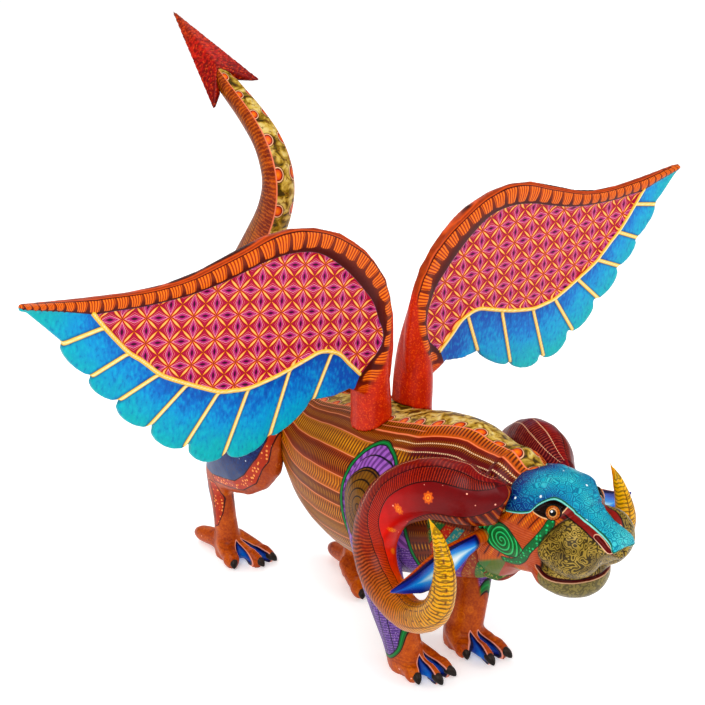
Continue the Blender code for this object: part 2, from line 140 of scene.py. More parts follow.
def inside(points, outline):
    """Which 2-D points lie inside a closed outline."""
    x, y = points.T
    count = np.zeros(len(points), int)
    for (ax, ay), (bx, by) in zip(outline, np.roll(outline, -1, axis=0)):
        if ay == by:
            continue
        crosses = (ay > y) != (by > y)
        count += crosses & (x < (bx - ax) * (y - ay) / (by - ay) + ax)
    return count % 2 == 1


def region(flat, outline):
    """Distance in from a closed outline, negative outside it."""
    closed = np.array([*outline, outline[0]], float)
    distance = nearest_on(flat, closed)[0]
    return np.where(inside(flat, closed[:-1]), distance, -distance)


def apply_modifiers(piece):
    bpy.context.view_layer.update()
    evaluated = piece.evaluated_get(bpy.context.evaluated_depsgraph_get())
    piece.data = bpy.data.meshes.new_from_object(evaluated)
    piece.modifiers.clear()


def fair(mesh, rounds, keep=None):
    """Takes the facets off a mesh without shrinking it, by turns in and out."""
    points = points_of(mesh)
    a, b = edges_of(mesh).T
    count = len(points)
    degree = np.bincount(a, minlength=count) + np.bincount(b, minlength=count)
    free = np.ones(count) if keep is None else 1 - keep(points)
    for amount in (0.6, -0.62) * rounds:
        for axis in range(3):
            column = points[:, axis]
            total = np.bincount(a, column[b], count) + np.bincount(b, column[a], count)
            points[:, axis] += amount * free * (total / degree - column)
    move_points(mesh, points)


def carved(node, body, voxel, rounds, finer=1, keep=None):
    """A finer copy of a CAD node that stands for it and rides on its body."""
    mesh = frame["nodes"][node].data.copy()
    bm = bmesh.new()
    bm.from_mesh(mesh)
    bmesh.ops.remove_doubles(bm, verts=bm.verts, dist=0.01 * MM)
    bm.to_mesh(mesh)
    bm.free()
    piece = bpy.data.objects.new(f"{node}_carving", mesh)
    bpy.context.scene.collection.objects.link(piece)
    remesh = piece.modifiers.new("remesh", "REMESH")
    remesh.mode = "VOXEL"
    remesh.voxel_size = voxel * MM
    apply_modifiers(piece)
    fair(piece.data, rounds, keep)
    if finer:
        subdivide = piece.modifiers.new("finer", "SUBSURF")
        subdivide.levels = finer
        subdivide.render_levels = finer
        apply_modifiers(piece)
    piece.data.shade_smooth()
    return stand_in(piece, node, body)


def stand_in(piece, node, body):
    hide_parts(node)
    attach(piece, body)
    return piece


def centre_line(mesh, start, count=36, rounds=5):
    """The line along the middle of a bent form, from the end nearest to start."""
    points = points_of(mesh)
    edges = edges_of(mesh)
    lengths = np.linalg.norm(points[edges[:, 0]] - points[edges[:, 1]], axis=1)
    near = [[] for _ in points]
    for (a, b), length in zip(edges.tolist(), lengths.tolist()):
        near[a].append((b, length))
        near[b].append((a, length))
    reach = np.full(len(points), np.inf)
    first = int(np.argmin(np.linalg.norm(points - start, axis=1)))
    reach[first] = 0.0
    queue = [(0.0, first)]
    while queue:
        so_far, at = heapq.heappop(queue)
        if so_far > reach[at]:
            continue
        for to, length in near[at]:
            if so_far + length < reach[to]:
                reach[to] = so_far + length
                heapq.heappush(queue, (so_far + length, to))
    share = reach / reach.max()
    for _ in range(rounds):
        bins = np.clip((share * count).astype(int), 0, count - 1)
        line = [points[bins == k].mean(axis=0) for k in range(count) if np.any(bins == k)]
        line = np.array(line)
        line[1:-1] = 0.25 * line[:-2] + 0.5 * line[1:-1] + 0.25 * line[2:]
        _, run, _, _ = nearest_on(points, line)
        share = run / run.max()
    return line


def frame_along(points, line, rounds=12):
    """For each point: how far along a smoothed line, the foot on it and the tangent there."""
    line = line.copy()
    for _ in range(rounds):
        line[1:-1] = 0.25 * line[:-2] + 0.5 * line[1:-1] + 0.25 * line[2:]
    fine = smooth_curve(line, 6)
    _, run, _, _ = nearest_on(points, fine)
    along = np.concatenate([[0], np.cumsum(np.linalg.norm(np.diff(fine, axis=0), axis=1))])
    ways = np.gradient(fine, axis=0)
    foot = np.column_stack([np.interp(run, along, fine[:, k]) for k in range(3)])
    tangent = np.column_stack([np.interp(run, along, ways[:, k]) for k in range(3)])
    return run, foot, tangent / np.linalg.norm(tangent, axis=1, keepdims=True)


# ---------------------------------------------------------------- paint

class Num:
    """A number that a material's nodes work out at every point, for use in formulas."""

    def __init__(self, tree, socket):
        self.tree = tree
        self.socket = socket

    def math(self, operation, *others, flip=False):
        node = self.tree.nodes.new("ShaderNodeMath")
        node.operation = operation
        terms = [self, *others]
        if flip:
            terms.reverse()
        for slot, term in zip(node.inputs, terms):
            if isinstance(term, Num):
                self.tree.links.new(term.socket, slot)
            else:
                slot.default_value = term
        return Num(self.tree, node.outputs[0])

    def __add__(self, other):
        return self.math("ADD", other)

    def __sub__(self, other):
        return self.math("SUBTRACT", other)

    def __rsub__(self, other):
        return self.math("SUBTRACT", other, flip=True)

    def __mul__(self, other):
        return self.math("MULTIPLY", other)

    def __truediv__(self, other):
        return self.math("DIVIDE", other)

    def __neg__(self):
        return self.math("MULTIPLY", -1.0)

    __radd__ = __add__
    __rmul__ = __mul__

    def size(self):
        return self.math("ABSOLUTE")

    def sine(self):
        return self.math("SINE")

    def cosine(self):
        return self.math("COSINE")

    def root(self):
        return self.math("SQRT")

    def floor(self):
        return self.math("FLOOR")

    def least(self, other):
        return self.math("MINIMUM", other)

    def most(self, other):
        return self.math("MAXIMUM", other)

    def over(self, edge, soft=0.1):
        """1 above the edge and 0 below it, with a soft change of the given width."""
        node = self.tree.nodes.new("ShaderNodeMapRange")
        node.interpolation_type = "SMOOTHSTEP"
        terms = (self, edge - soft, edge + soft)
        for slot, term in zip(node.inputs, terms):
            if isinstance(term, Num):
                self.tree.links.new(term.socket, slot)
            else:
                slot.default_value = term
        return Num(self.tree, node.outputs[0])

    def under(self, edge, soft=0.1):
        return 1 - self.over(edge, soft)

    def within(self, low, high, soft=0.1):
        return self.over(low, soft) * self.under(high, soft)

    def line(self, middle, half, soft=0.1):
        """1 on a line of the given half width about the middle value."""
        return (self - middle).size().under(half, soft)

    def wave(self, period):
        """A triangle wave from 0 to 1, that is 0 at every multiple of the period."""
        return self.math("PINGPONG", period / 2) * (2 / period)

    def repeat(self, period):
        """How far into its period the value is, from 0 to 1."""
        return (self / period).math("FRACT")

    def random(self, seed=0.0):
        """A number from 0 to 1 that differs for every whole value."""
        return ((self + seed) * 12.9898).sine().math("MULTIPLY", 43758.5453).math("FRACT")


def tint(red, green, blue):
    """A paint's colour, from 0 to 255 as the eye sees it, in the light's own scale."""
    return tuple((c / 255) ** 2.2 for c in (red, green, blue)) + (1.0,)


class Painter:
    """Builds one material in coats: a ground colour, then patterns laid over it."""

    def __init__(self, name, ground):
        self.material = bpy.data.materials.new(name)
        self.material.use_nodes = True
        self.tree = self.material.node_tree
        self.shader = self.tree.nodes["Principled BSDF"]
        self.colour = ground
        self.height = None
        coordinates = self.tree.nodes.new("ShaderNodeTexCoord")
        scale = self.tree.nodes.new("ShaderNodeVectorMath")
        scale.operation = "SCALE"
        scale.inputs["Scale"].default_value = 1 / MM
        self.tree.links.new(coordinates.outputs["Object"], scale.inputs[0])
        self.place = scale.outputs[0]
        split = self.tree.nodes.new("ShaderNodeSeparateXYZ")
        self.tree.links.new(self.place, split.inputs[0])
        self.x, self.y, self.z = (Num(self.tree, split.outputs[k]) for k in range(3))

    def field(self, name):
        node = self.tree.nodes.new("ShaderNodeAttribute")
        node.attribute_name = name
        return Num(self.tree, node.outputs["Fac"])

    def angle(self, name):
        """A stored direction's angle in degrees, kept as its cosine and sine."""
        up = self.field(f"{name}_cos")
        return self.field(f"{name}_sin").math("ARCTAN2", up) * (180 / pi)

    def vector(self, x, y, z=0.0):
        node = self.tree.nodes.new("ShaderNodeCombineXYZ")
        for slot, value in zip(node.inputs, (x, y, z)):
            if isinstance(value, Num):
                self.tree.links.new(value.socket, slot)
            else:
                slot.default_value = value
        return node.outputs[0]

    def noise(self, size, detail=2.0, at=None, twist=0.0):
        """Cloudy noise from about 0 to 1 with features of the given size in millimetres."""
        node = self.tree.nodes.new("ShaderNodeTexNoise")
        node.inputs["Scale"].default_value = 1 / size
        node.inputs["Detail"].default_value = detail
        node.inputs["Distortion"].default_value = twist
        self.tree.links.new(at or self.place, node.inputs["Vector"])
        return Num(self.tree, node.outputs["Fac"])

    def cells(self, size, feature="F1", at=None, jitter=1.0, output="Distance"):
        node = self.tree.nodes.new("ShaderNodeTexVoronoi")
        node.feature = feature
        node.inputs["Scale"].default_value = 1 / size
        node.inputs["Randomness"].default_value = jitter
        self.tree.links.new(at or self.place, node.inputs["Vector"])
        return Num(self.tree, node.outputs[output])

    def mix(self, share, first, second):
        node = self.tree.nodes.new("ShaderNodeMix")
        node.data_type = "RGBA"
        wanted = ((node.inputs[0], share), (node.inputs[6], first), (node.inputs[7], second))
        for slot, value in wanted:
            if isinstance(value, Num):
                self.tree.links.new(value.socket, slot)
            elif isinstance(value, bpy.types.NodeSocket):
                self.tree.links.new(value, slot)
            else:
                slot.default_value = value
        return node.outputs[2]

    def ramp(self, value, stops, smooth=True):
        """Colours along a value, from (position, colour) stops."""
        node = self.tree.nodes.new("ShaderNodeValToRGB")
        node.color_ramp.interpolation = "LINEAR" if smooth else "CONSTANT"
        elements = node.color_ramp.elements
        while len(elements) < len(stops):
            elements.new(1.0)
        for element, (position, colour) in zip(elements, stops):
            element.position = position
            element.color = colour
        self.tree.links.new(value.socket, node.inputs[0])
        return node.outputs[0]

    def lay(self, colour, where):
        """Lays a colour over the coats so far, where the mask is 1."""
        self.colour = self.mix(where, self.colour, colour)

    def lift(self, amount, where):
        """Adds to the height of the paint, in millimetres."""
        added = where * amount
        self.height = added if self.height is None else self.height + added

    def done(self, roughness=0.38, coat=0.35, wear=0.5):
        """Joins the coats, with a varnish, brush marks and fine grain, into the shader."""
        grain = self.noise(0.9, 3.0)
        broad = self.noise(14.0, 3.0)
        shade = self.tree.nodes.new("ShaderNodeHueSaturation")
        shade.inputs["Saturation"].default_value = 1.13
        value = 0.86 + broad * 0.2 * wear + grain * 0.16 * wear
        self.tree.links.new(value.socket, shade.inputs["Value"])
        colour = shade.inputs["Color"]
        if isinstance(self.colour, bpy.types.NodeSocket):
            self.tree.links.new(self.colour, colour)
        else:
            colour.default_value = self.colour
        depth = self.tree.nodes.new("ShaderNodeGamma")
        depth.inputs["Gamma"].default_value = 1.15
        self.tree.links.new(shade.outputs[0], depth.inputs[0])
        self.tree.links.new(depth.outputs[0], self.shader.inputs["Base Color"])
        rough = (roughness - 0.08) + grain * 0.1 + broad * 0.06
        self.tree.links.new(rough.socket, self.shader.inputs["Roughness"])
        self.shader.inputs["Specular IOR Level"].default_value = 0.1
        self.shader.inputs["Coat Weight"].default_value = coat * 0.25
        self.shader.inputs["Coat Roughness"].default_value = 0.28
        self.lift(0.06, grain)
        self.lift(0.12, self.noise(3.5, 2.0))
        bump = self.tree.nodes.new("ShaderNodeBump")
        bump.inputs["Strength"].default_value = 0.8
        bump.inputs["Distance"].default_value = MM
        self.tree.links.new(self.height.socket, bump.inputs["Height"])
        self.tree.links.new(bump.outputs[0], self.shader.inputs["Normal"])
        return self.material


# ---------------------------------------------------------------- wings

# Curves of a wing in its own plane: millimetres out from the median plane, and height.
SPAN = 300.8  # how far out the wing's box reaches where the curves are drawn
CREST = 349.5  # and how high
LEAD = ((12, 205), (9.5, 220), (9, 250), (11, 275), (16, 292), (25, 308), (37.5, 321),
        (50, 330), (65, 339), (80, 345), (100, 349), (120, 347.5), (140, 341.5), (160, 336),
        (180, 331), (200, 328.5), (220, 328.5), (240, 330), (260, 332), (280, 334.5),
        (301, 337))
BAND_EDGE = ((50, 207), (45, 217), (37, 230), (27.5, 239), (22.5, 248), (21, 257.5),
             (24, 267.5), (30, 282.5), (40, 295), (50, 306), (61, 316), (75, 326),
             (87.5, 331), (105, 333), (125, 331), (140, 327.5), (160, 323), (180, 320),
             (200, 319), (220, 319), (240, 320.5), (254, 321.5), (276, 328), (301, 334.5))
BORDER = ((39, 229), (50, 240), (60, 250), (75, 255), (87.5, 252.5), (100, 249),
          (112.5, 246), (125, 244), (137.5, 242.5), (150, 244), (161, 246), (175, 252.5),
          (186, 258), (200, 265.5), (207.5, 270.5), (220, 282.5), (229, 290), (237.5, 300),
          (246, 311), (254, 322))
HOOK = ((80, 216), (67.5, 218), (58.7, 217.5), (53.7, 213), (48.7, 212), (44, 217.5),
        (39, 229))
RIBS = (((246, 311), (276, 306)), ((229, 290), (259, 279)), ((207.5, 270), (239, 258)),
        ((186, 257.5), (216, 234)), ((161, 246), (187.5, 213)), ((137, 242), (156, 197)),
        ((102, 248), (118, 200)), ((65.5, 252), (81, 217)))
FAN_PITCH = 13.5  # the widest of the leading band's fans
STAR = {"right": ((91.9, 305.3), (17.5, 3.1), (-0.95, 16.9)),
        "left": ((92.5, 301.5), (17.6, 0.4), (-0.3, 16.6))}  # a star, then the two pitches


def plain_distance(flat, line):
    return nearest_on(flat, np.array(line, float))


def near_tenon(points, node, joint):
    """1 at points no farther from a tenon's axis than the tenon's own corners, else 0."""
    axis = joint_axis(joint)
    ends = points_of(frame["nodes"][node].data)
    depth = ends @ axis
    end = ends[depth < depth.min() + 0.2]
    middle = end.mean(axis=0)
    radius = np.linalg.norm(end - middle, axis=1).max() + 0.7
    away = points - middle
    away = away - np.outer(away @ axis, axis)
    return step_up(radius - np.linalg.norm(away, axis=1), -0.3, 0.3)


def make_wing(which, side):
    node = f"wing_{which}"
    low, high = box(node)
    seat_top = low[2] + 34  # the tenon lies below this height

    def tenon(points):
        return step_up(seat_top - points[:, 2], -1, 1)

    wing = carved(node, f"{which}_wing", 1.25, 44, finer=0, keep=tenon)
    points = points_of(wing.data)
    out = np.abs(points[:, 0]) * SPAN / max(abs(low[0]), abs(high[0]))
    up = points[:, 2] - high[2] + CREST
    flat = np.column_stack([out, up])

    # the board's own leaning plane, fitted where nothing but board stands
    board = (out > 110) & (up < 320)
    lean = np.polyfit(points[board, 2], points[board, 1], 1)
    behind = points[:, 1] - np.polyval(lean, points[:, 2])

    lead = smooth_curve(LEAD, 4)
    edge = smooth_curve(BAND_EDGE, 4)
    border = smooth_curve(BORDER, 4)
    to_lead, band_run, _, _ = plain_distance(flat, lead)
    to_edge, _, _, _ = plain_distance(flat, edge)
    to_border, border_run, _, _ = plain_distance(flat, border)
    panel_outline = np.vstack([edge[(edge[:, 0] < 254.5) & (edge[:, 1] > 228)], border[::-1]])
    panel = np.minimum(to_border, to_edge) * np.where(inside(flat, panel_outline), 1, -1)
    feather_outline = np.vstack([
        border, [(301, 334)], [(320, 330), (320, 150), (80, 150)], HOOK,
    ])
    feather = np.where(inside(flat, feather_outline), 1, -1)
    feather = feather * np.minimum(to_border, plain_distance(flat, np.vstack([HOOK]))[0])
    to_low_edge, _, _, _ = plain_distance(flat, ((254, 321.5), (276, 328), (301, 334.5)))
    feather = np.sign(feather) * np.minimum(np.abs(feather), to_low_edge)
    rib = np.min([plain_distance(flat, line)[0] for line in RIBS], axis=0)
    which_feather = np.zeros(len(points))
    for (rx, rz), (tx, tz) in RIBS:
        which_feather += ((flat[:, 0] - rx) * (tz - rz) - (flat[:, 1] - rz) * (tx - rx)) > 0
    share = to_lead / (to_lead + to_edge + 1e-6)
    widths = plain_distance(lead, edge)[0]
    pitch = np.clip(0.9 * widths + 1.0, 4.5, FAN_PITCH)
    steps = np.linalg.norm(np.diff(lead, axis=0), axis=1)
    runs = np.concatenate([[0], np.cumsum(steps)])
    fans = np.concatenate([[0], np.cumsum(steps * 2 / (pitch[1:] + pitch[:-1]))])
    hull = inside(flat, np.vstack([lead, [(301, 334.5)], edge[::-1]]))
    above = ~hull & (to_lead < to_edge) & (to_lead < to_border)
    feather = np.where(above, -0.5 - to_lead, feather)
    panel = np.where(above, -0.5 - to_lead, panel)
    share = np.where(hull | (feather < 0) & (panel < 0), share, 1.0)

    # relief: a hollowed panel, a rounded band, domed feathers, ribs that stand proud
    faces = step_up(np.abs(behind), 1.0, 3.6)
    hollow = step_up(panel, 0.0, 3.0)
    dome = np.sin(np.pi * np.clip(share, 0, 1)) * step_up(-panel, -0.5, 2) * (feather < 0)
    thick = 1.0 - 0.42 * hollow + 0.35 * dome * step_up(out, 20, 60)
    plumes = step_up(feather, 0.0, 2.0)
    rib_top = np.clip(1 - (rib / 2.0) ** 2, 0, 1)
    border_top = np.clip(1 - (to_border / 2.2) ** 2, 0, 1)
    reach = np.clip(to_border / 45, 0, 1)
    thick += plumes * (-0.30 - 0.22 * reach + 0.16 * np.clip(rib / 9, 0, 1) + 0.30 * rib_top)
    thick += 0.30 * border_top * (out > 38)
    in_stem = step_up(48 - out, 0, 14) * step_up(262 - up, 0, 14)
    thick = thick + (1 - thick) * in_stem
    points[:, 1] += behind * (thick - 1) * faces
    move_points(wing.data, points)

    (sx, sz), (ax, az), (bx, bz) = STAR[which]
    across = flat - np.array([sx, sz])
    area = ax * bz - az * bx
    fields = {
        "panel": panel, "feather": feather, "rib": rib, "band": share, "fan": np.interp(band_run, runs, fans),
        "border": to_border, "number": which_feather, "out": out, "up": up,
        "star_u": (across[:, 0] * bz - across[:, 1] * bx) / area,
        "star_v": (across[:, 1] * ax - across[:, 0] * az) / area,
        "bare": tenon(points) * near_tenon(points, node, f"{which}_wing_pull"),
    }
    for name, values in fields.items():
        add_field(wing, name, values)
    return wing


def wing_paint():
    paint = Painter("wing_paint", tint(10, 95, 185))
    panel = paint.field("panel")
    feather = paint.field("feather")
    rib = paint.field("rib")
    band = paint.field("band")
    border = paint.field("border")
    out = paint.field("out")
    up = paint.field("up")

    # feathers: deep blue at the root, turquoise at the end, in short dry strokes
    streak = paint.noise(2.2, 4.0, at=paint.vector(paint.x, paint.y * 0.3, paint.z * 0.55))
    cloud = paint.noise(16.0, 2.0)
    shade = border / 46 + (cloud - 0.5) * 0.5 + (streak - 0.5) * 0.45 + (out - 150) / 500
    shade = shade.most(0).least(1)
    paint.colour = paint.ramp(shade, (
        (0.0, tint(10, 88, 176)), (0.25, tint(12, 120, 196)), (0.5, tint(30, 152, 204)),
        (0.75, tint(40, 162, 190)), (1.0, tint(40, 172, 176)),
    ))
    paint.lay(tint(110, 206, 222), streak.over(0.58, 0.1) * 0.25)
    paint.lay(tint(8, 84, 150), streak.under(0.38, 0.06) * 0.35)
    # painted shade: darker blue in the groove along the foot of each raised rib
    paint.lay(tint(8, 66, 130), rib.under(2.6, 1.2) * 0.5)
    paint.lay(tint(120, 80, 30), rib.under(1.75, 0.25) * feather.over(0, 0.4) * 0.8)
    paint.lay(tint(240, 204, 124), rib.under(1.4, 0.3) * feather.over(0, 0.4))
    # painted highlight: a near-white line down the crest of each raised rib
    paint.lay(tint(255, 240, 200), rib.under(0.6, 0.4) * 0.7 * feather.over(0, 0.4))

    # the panel: eight-petalled stars on a diagonal lattice, with an eye between neighbours
    u = (paint.field("star_u") + 0.5).repeat(1.0) - 0.5
    v = (paint.field("star_v") + 0.5).repeat(1.0) - 0.5
    a, b = u.size(), v.size()
    wide, narrow = a.most(b), a.least(b)
    along = a + b
    petal_half = (along * pi).sine().most(0) * 0.056
    petal_off = (a - b).size() * 0.7071
    eye_x = (0.5 - wide) / 0.4
    eye_half = (1 - eye_x.size()).most(0) * 0.17
    lattice = paint.mix(paint.noise(5.0), tint(188, 10, 34), tint(222, 26, 32))
    lattice = paint.mix(wide.over(0.2, 0.12) * 0.8, lattice, tint(168, 14, 74))
    lattice = paint.mix((eye_half * 1.5 - narrow).line(0.0, 0.008, 0.012) * 0.8, lattice,
                        tint(255, 176, 168))
    lattice = paint.mix((eye_half - narrow).over(0.0, 0.01), lattice, tint(255, 196, 206))
    lattice = paint.mix((eye_half - narrow).over(0.016, 0.008), lattice, tint(168, 10, 104))
    lattice = paint.mix((eye_half - narrow).line(0.06, 0.006, 0.008) * 0.8, lattice,
                        tint(250, 150, 190))
    pupil = (1 - (0.5 - wide) * (0.5 - wide) * 50).most(0) * 0.045 - narrow
    lattice = paint.mix(pupil.over(0, 0.01), lattice, tint(66, 0, 40))
    lattice = paint.mix((petal_half + 0.024 - petal_off).over(0, 0.01), lattice, tint(140, 6, 26))
    petal = paint.mix((petal_half - petal_off) / 0.04, tint(238, 118, 62), tint(255, 206, 140))
    lattice = paint.mix((petal_half - petal_off).over(0, 0.012), lattice, petal)
    paint.lay(lattice, panel.over(0, 0.3))
    paint.lift(0.25, (petal_half - petal_off).over(0, 0.02) * panel.over(0, 0.3))

    # the leading band: combed orange fans on dark brown, under a brown rim
    outside = (feather.under(0, 0.3) * panel.under(0, 0.3)).most(band.under(0.25, 0.05))
    fan = paint.field("fan").repeat(1.0) - 0.5
    fan_half = 0.5 - (band - 0.06).most(0) * 0.17
    # the fans stop short on the crest's inner side, leaving more of the darker brown there
    foot = (0.9 - out.under(80, 30) * up.over(262, 10) * 0.26) - (band + fan * fan * 0.5)
    comb = (fan / fan_half * 15).sine()
    brown = paint.mix(paint.noise(4.0), tint(112, 38, 14), tint(160, 68, 28))
    # the brown darkens toward the band's inner edge: dark paint, and a painted shadow where the band steps down to
    # the panel
    brown = paint.mix(band.over(0.6, 0.3), brown, tint(84, 20, 14))
    orange = paint.mix(paint.noise(7.0), tint(214, 84, 18), tint(232, 112, 34))
    orange = paint.mix(comb.over(0.4, 0.35) * 0.8, orange, tint(142, 46, 10))
    orange = paint.mix(comb.under(-0.4, 0.4) * 0.55, orange, tint(250, 174, 120))
    is_fan = (fan_half - fan.size()).over(0.03, 0.03) * foot.over(0, 0.03)
    orange = paint.mix(is_fan, brown, orange)
    edge = (fan_half - fan.size() - 0.03).least(foot).line(0, 0.02, 0.02)
    orange = paint.mix(edge * 0.7, orange, tint(84, 24, 10))
    rim = paint.mix(paint.noise(5.0, 3.0), tint(134, 44, 18), tint(186, 84, 34))
    orange = paint.mix(band.under(0.1, 0.02), orange, rim)
    orange = paint.mix(band.line(0.1, 0.02, 0.015), orange, tint(70, 20, 10))
    orange = paint.mix(band.line(0.05, 0.014, 0.015) * 0.7, orange, tint(226, 124, 96))
    paint.lay(orange, outside)
    # the rim reddens toward the stem, which is all orange-red
    stem = ((out - 12) * 0.9 + (up - 262) * 0.75 + (band - 0.3) * 50).under(0, 6)
    red = paint.mix(paint.noise(6.0, 3.0), tint(158, 26, 10), tint(222, 62, 18))
    red = paint.mix(paint.noise(1.4, 2.0).over(0.58, 0.06) * 0.5, red, tint(240, 100, 40))
    stem = stem.most(up.under(216, 9))
    paint.lay(red, stem * outside)

    # the gilded border between panel and feathers
    gold = border.under(1.5, 0.3) * out.over(38, 1)
    paint.lay(tint(238, 196, 104), gold)
    # painted highlight: a near-white line down the crest of the raised border
    paint.lay(tint(255, 240, 196), border.under(0.6, 0.4) * 0.8 * out.over(38, 1))
    paint.lay(tint(204, 160, 104), paint.field("bare"))
    return paint.done(roughness=0.42, coat=0.25)


# ---------------------------------------------------------------- horns

# Where the first painted line runs: share of the horn's length, then the turn round it
HORN_TWIST = ((0, 30), (0.15, 37), (0.28, 60), (0.36, 85), (0.43, 112), (0.5, 128),
              (0.57, 134), (0.66, 122), (0.76, 96), (0.86, 45), (0.93, 50), (1, 50))


def make_horn(which, side):
    node = f"horn_{which}"
    low, high = box(node)
    horn = carved(node, "figure", 2.0, 60)
    points = points_of(horn.data)
    middle = (low + high) / 2
    root = np.array([side * 24.0, low[1] + 12, high[2] - 22])
    line = centre_line(horn.data, root)
    run, foot, tangent = frame_along(points, line)
    share = run / run.max()
    # the end is whittled down where it meets the head
    collar = 1 - 0.34 * (1 - step_up(share, 0.0, 0.11)) ** 1.5
    points = foot + (points - foot) * collar[:, None]
    move_points(horn.data, points)
    outward = foot - middle
    outward -= tangent * np.sum(outward * tangent, axis=1, keepdims=True)
    outward /= np.linalg.norm(outward, axis=1, keepdims=True)
    sideways = side * np.cross(tangent, outward)
    offset = points - foot
    size = np.linalg.norm(offset, axis=1) + 1e-6
    turn = np.arctan2(np.sum(offset * sideways, axis=1), np.sum(offset * outward, axis=1))
    places, lines = np.array(HORN_TWIST, float).T
    turn -= np.radians(np.interp(share, places, lines) - 45)
    add_field(horn, "turn_cos", np.cos(turn))
    add_field(horn, "turn_sin", np.sin(turn))
    add_field(horn, "run", run)
    add_field(horn, "share", share)
    add_field(horn, "radius", size)
    return horn


def greek_key(paint, along, across):
    """1 on the lines of a square meander; along and across run from 0 to 1 in a cell."""
    bars = ((0.0, 1.0, 0.02, 0.08), (0.12, 0.2, 0.02, 0.9), (0.12, 0.8, 0.83, 0.9),
            (0.72, 0.8, 0.36, 0.9), (0.44, 0.8, 0.34, 0.41), (0.44, 0.52, 0.34, 0.62))
    drawn = None
    for x0, x1, y0, y1 in bars:
        bar = along.within(x0, x1, 0.03) * across.within(y0, y1, 0.03)
        drawn = bar if drawn is None else drawn.most(bar)
    return drawn


def horn_paint():
    paint = Painter("horn_paint", tint(110, 48, 42))
    turn = paint.angle("turn")
    run = paint.field("run")
    share = paint.field("share")
    blotch = paint.noise(8.0, 3.0)
    grain = paint.noise(2.0, 3.0)

    # the back of the curl: purple brown, then brown, then gold, in fine dry strokes
    back = paint.ramp(share, (
        (0.0, tint(112, 44, 56)), (0.22, tint(118, 52, 50)), (0.36, tint(138, 60, 44)),
        (0.52, tint(156, 84, 54)), (0.66, tint(196, 122, 50)), (0.78, tint(226, 166, 44)),
        (1.0, tint(236, 190, 52)),
    ))
    stroke = ((run * 2.4 + (turn * 0.16).sine() * 0.8).sine() + (grain - 0.5) * 3)
    back = paint.mix(stroke.over(0.2, 0.6) * 0.65, back, tint(58, 14, 18))
    back = paint.mix(stroke.under(-0.7, 0.4) * 0.45, back, tint(200, 120, 96))
    rosy = (turn - 26).size().under(16, 8) * share.under(0.5, 0.1)
    back = paint.mix(rosy * blotch * 0.8, back, tint(150, 26, 20))
    paint.colour = back
    dots = run.wave(1.7).over(0.35, 0.2)
    for middle in (-14, 14):
        dotted = turn.line(middle, 1.2, 0.6) * dots * share.under(0.36, 0.05)
        paint.lay(tint(244, 206, 170), dotted * 0.9)
    key = greek_key(paint, run.repeat(7.5), (turn + 40) / 76)
    key = key * turn.within(-40, 36, 1) * share.over(0.7, 0.02) * share.under(0.975, 0.01)
    paint.lay(tint(96, 52, 14), key * 0.8)

    # the hatched strip
    strip = paint.ramp(share, (
        (0.0, tint(98, 20, 30)), (0.14, tint(122, 20, 20)), (0.36, tint(172, 34, 16)),
        (0.5, tint(190, 58, 22)), (0.62, tint(196, 100, 34)), (0.72, tint(204, 140, 44)),
        (1.0, tint(232, 180, 48)),
    ))
    comb = (run * 3.9 + (grain - 0.5) * 4).sine()
    strip = paint.mix(comb.over(0.2, 0.4) * 0.65, strip, tint(60, 8, 10))
    strip = paint.mix(comb.under(-0.7, 0.3) * 0.35, strip, tint(236, 96, 44))
    zigzag = (run.wave(5.0) - (turn - 47) / 30).line(0.0, 0.12, 0.06) * share.over(0.6, 0.03)
    strip = paint.mix(zigzag * share.under(0.93, 0.02), strip, tint(70, 34, 12))
    paint.lay(strip, turn.within(45, 78, 1))

    # the plain strip with its flowers
    plain = paint.ramp(share, (
        (0.0, tint(104, 10, 22)), (0.16, tint(122, 8, 16)), (0.3, tint(196, 20, 12)),
        (0.4, tint(226, 36, 14)), (0.52, tint(228, 56, 18)), (0.62, tint(214, 96, 30)),
        (0.8, tint(226, 166, 48)), (1.0, tint(238, 190, 56)),
    ))
    plain = paint.mix(blotch.over(0.5, 0.2) * 0.3, plain, tint(130, 8, 12))
    across = (turn - 112) * 0.28
    along = (run.repeat(29.0) - 0.5) * 29.0
    far = (across * across + along * along).root()
    petals = (across.math("ARCTAN2", along) * 8).cosine() * 0.45
    blooms = share.under(0.6, 0.02) * share.over(0.1, 0.02) * turn.within(80, 148, 1)
    plain = paint.mix((far - petals).under(3.6, 0.4) * blooms * 0.75, plain, tint(232, 104, 26))
    plain = paint.mix(far.line(1.9, 0.3, 0.3) * blooms * 0.7, plain, tint(246, 160, 60))
    plain = paint.mix(far.under(0.7, 0.3) * blooms * 0.8, plain, tint(250, 190, 110))
    paint.lay(plain, turn.within(78, 150, 1))
    speck = paint.cells(9.0)
    paint.lay(tint(255, 190, 170), speck.under(0.07, 0.02) * turn.within(82, 146, 1))

    # the scaled inside of the curl, on both sides of the seam at half a turn
    inner = turn.size().over(150, 1).most(turn.under(-90, 1))
    scale = paint.ramp(share, (
        (0.0, tint(112, 40, 34)), (0.3, tint(128, 56, 36)), (0.55, tint(176, 66, 30)),
        (0.7, tint(200, 130, 48)), (1.0, tint(230, 180, 52)),
    ))
    chevron = (run.repeat(4.0) - 0.5 + (turn.size() - 152).size() * 0.012).size()
    scale = paint.mix(chevron.under(0.16, 0.08) * 0.7, scale, tint(52, 18, 14))
    scale = paint.mix(chevron.over(0.4, 0.06) * 0.5, scale, tint(222, 128, 70))
    paint.lay(scale, inner)
    for middle in (45, 78, 150, -90):
        paint.lay(tint(40, 8, 10), turn.line(middle, 1.1, 0.7) * share.under(0.985, 0.005))
    paint.lift(-0.25, turn.line(45, 2, 1) + turn.line(78, 2, 1))
    return paint.done(roughness=0.36, coat=0.35)


# ---------------------------------------------------------------- torso

def tree_of(node):
    mesh = frame["nodes"][node].data
    corners = [p.vertices[:] for p in mesh.polygons]
    return BVHTree.FromPolygons([v.co[:] for v in mesh.vertices], corners)


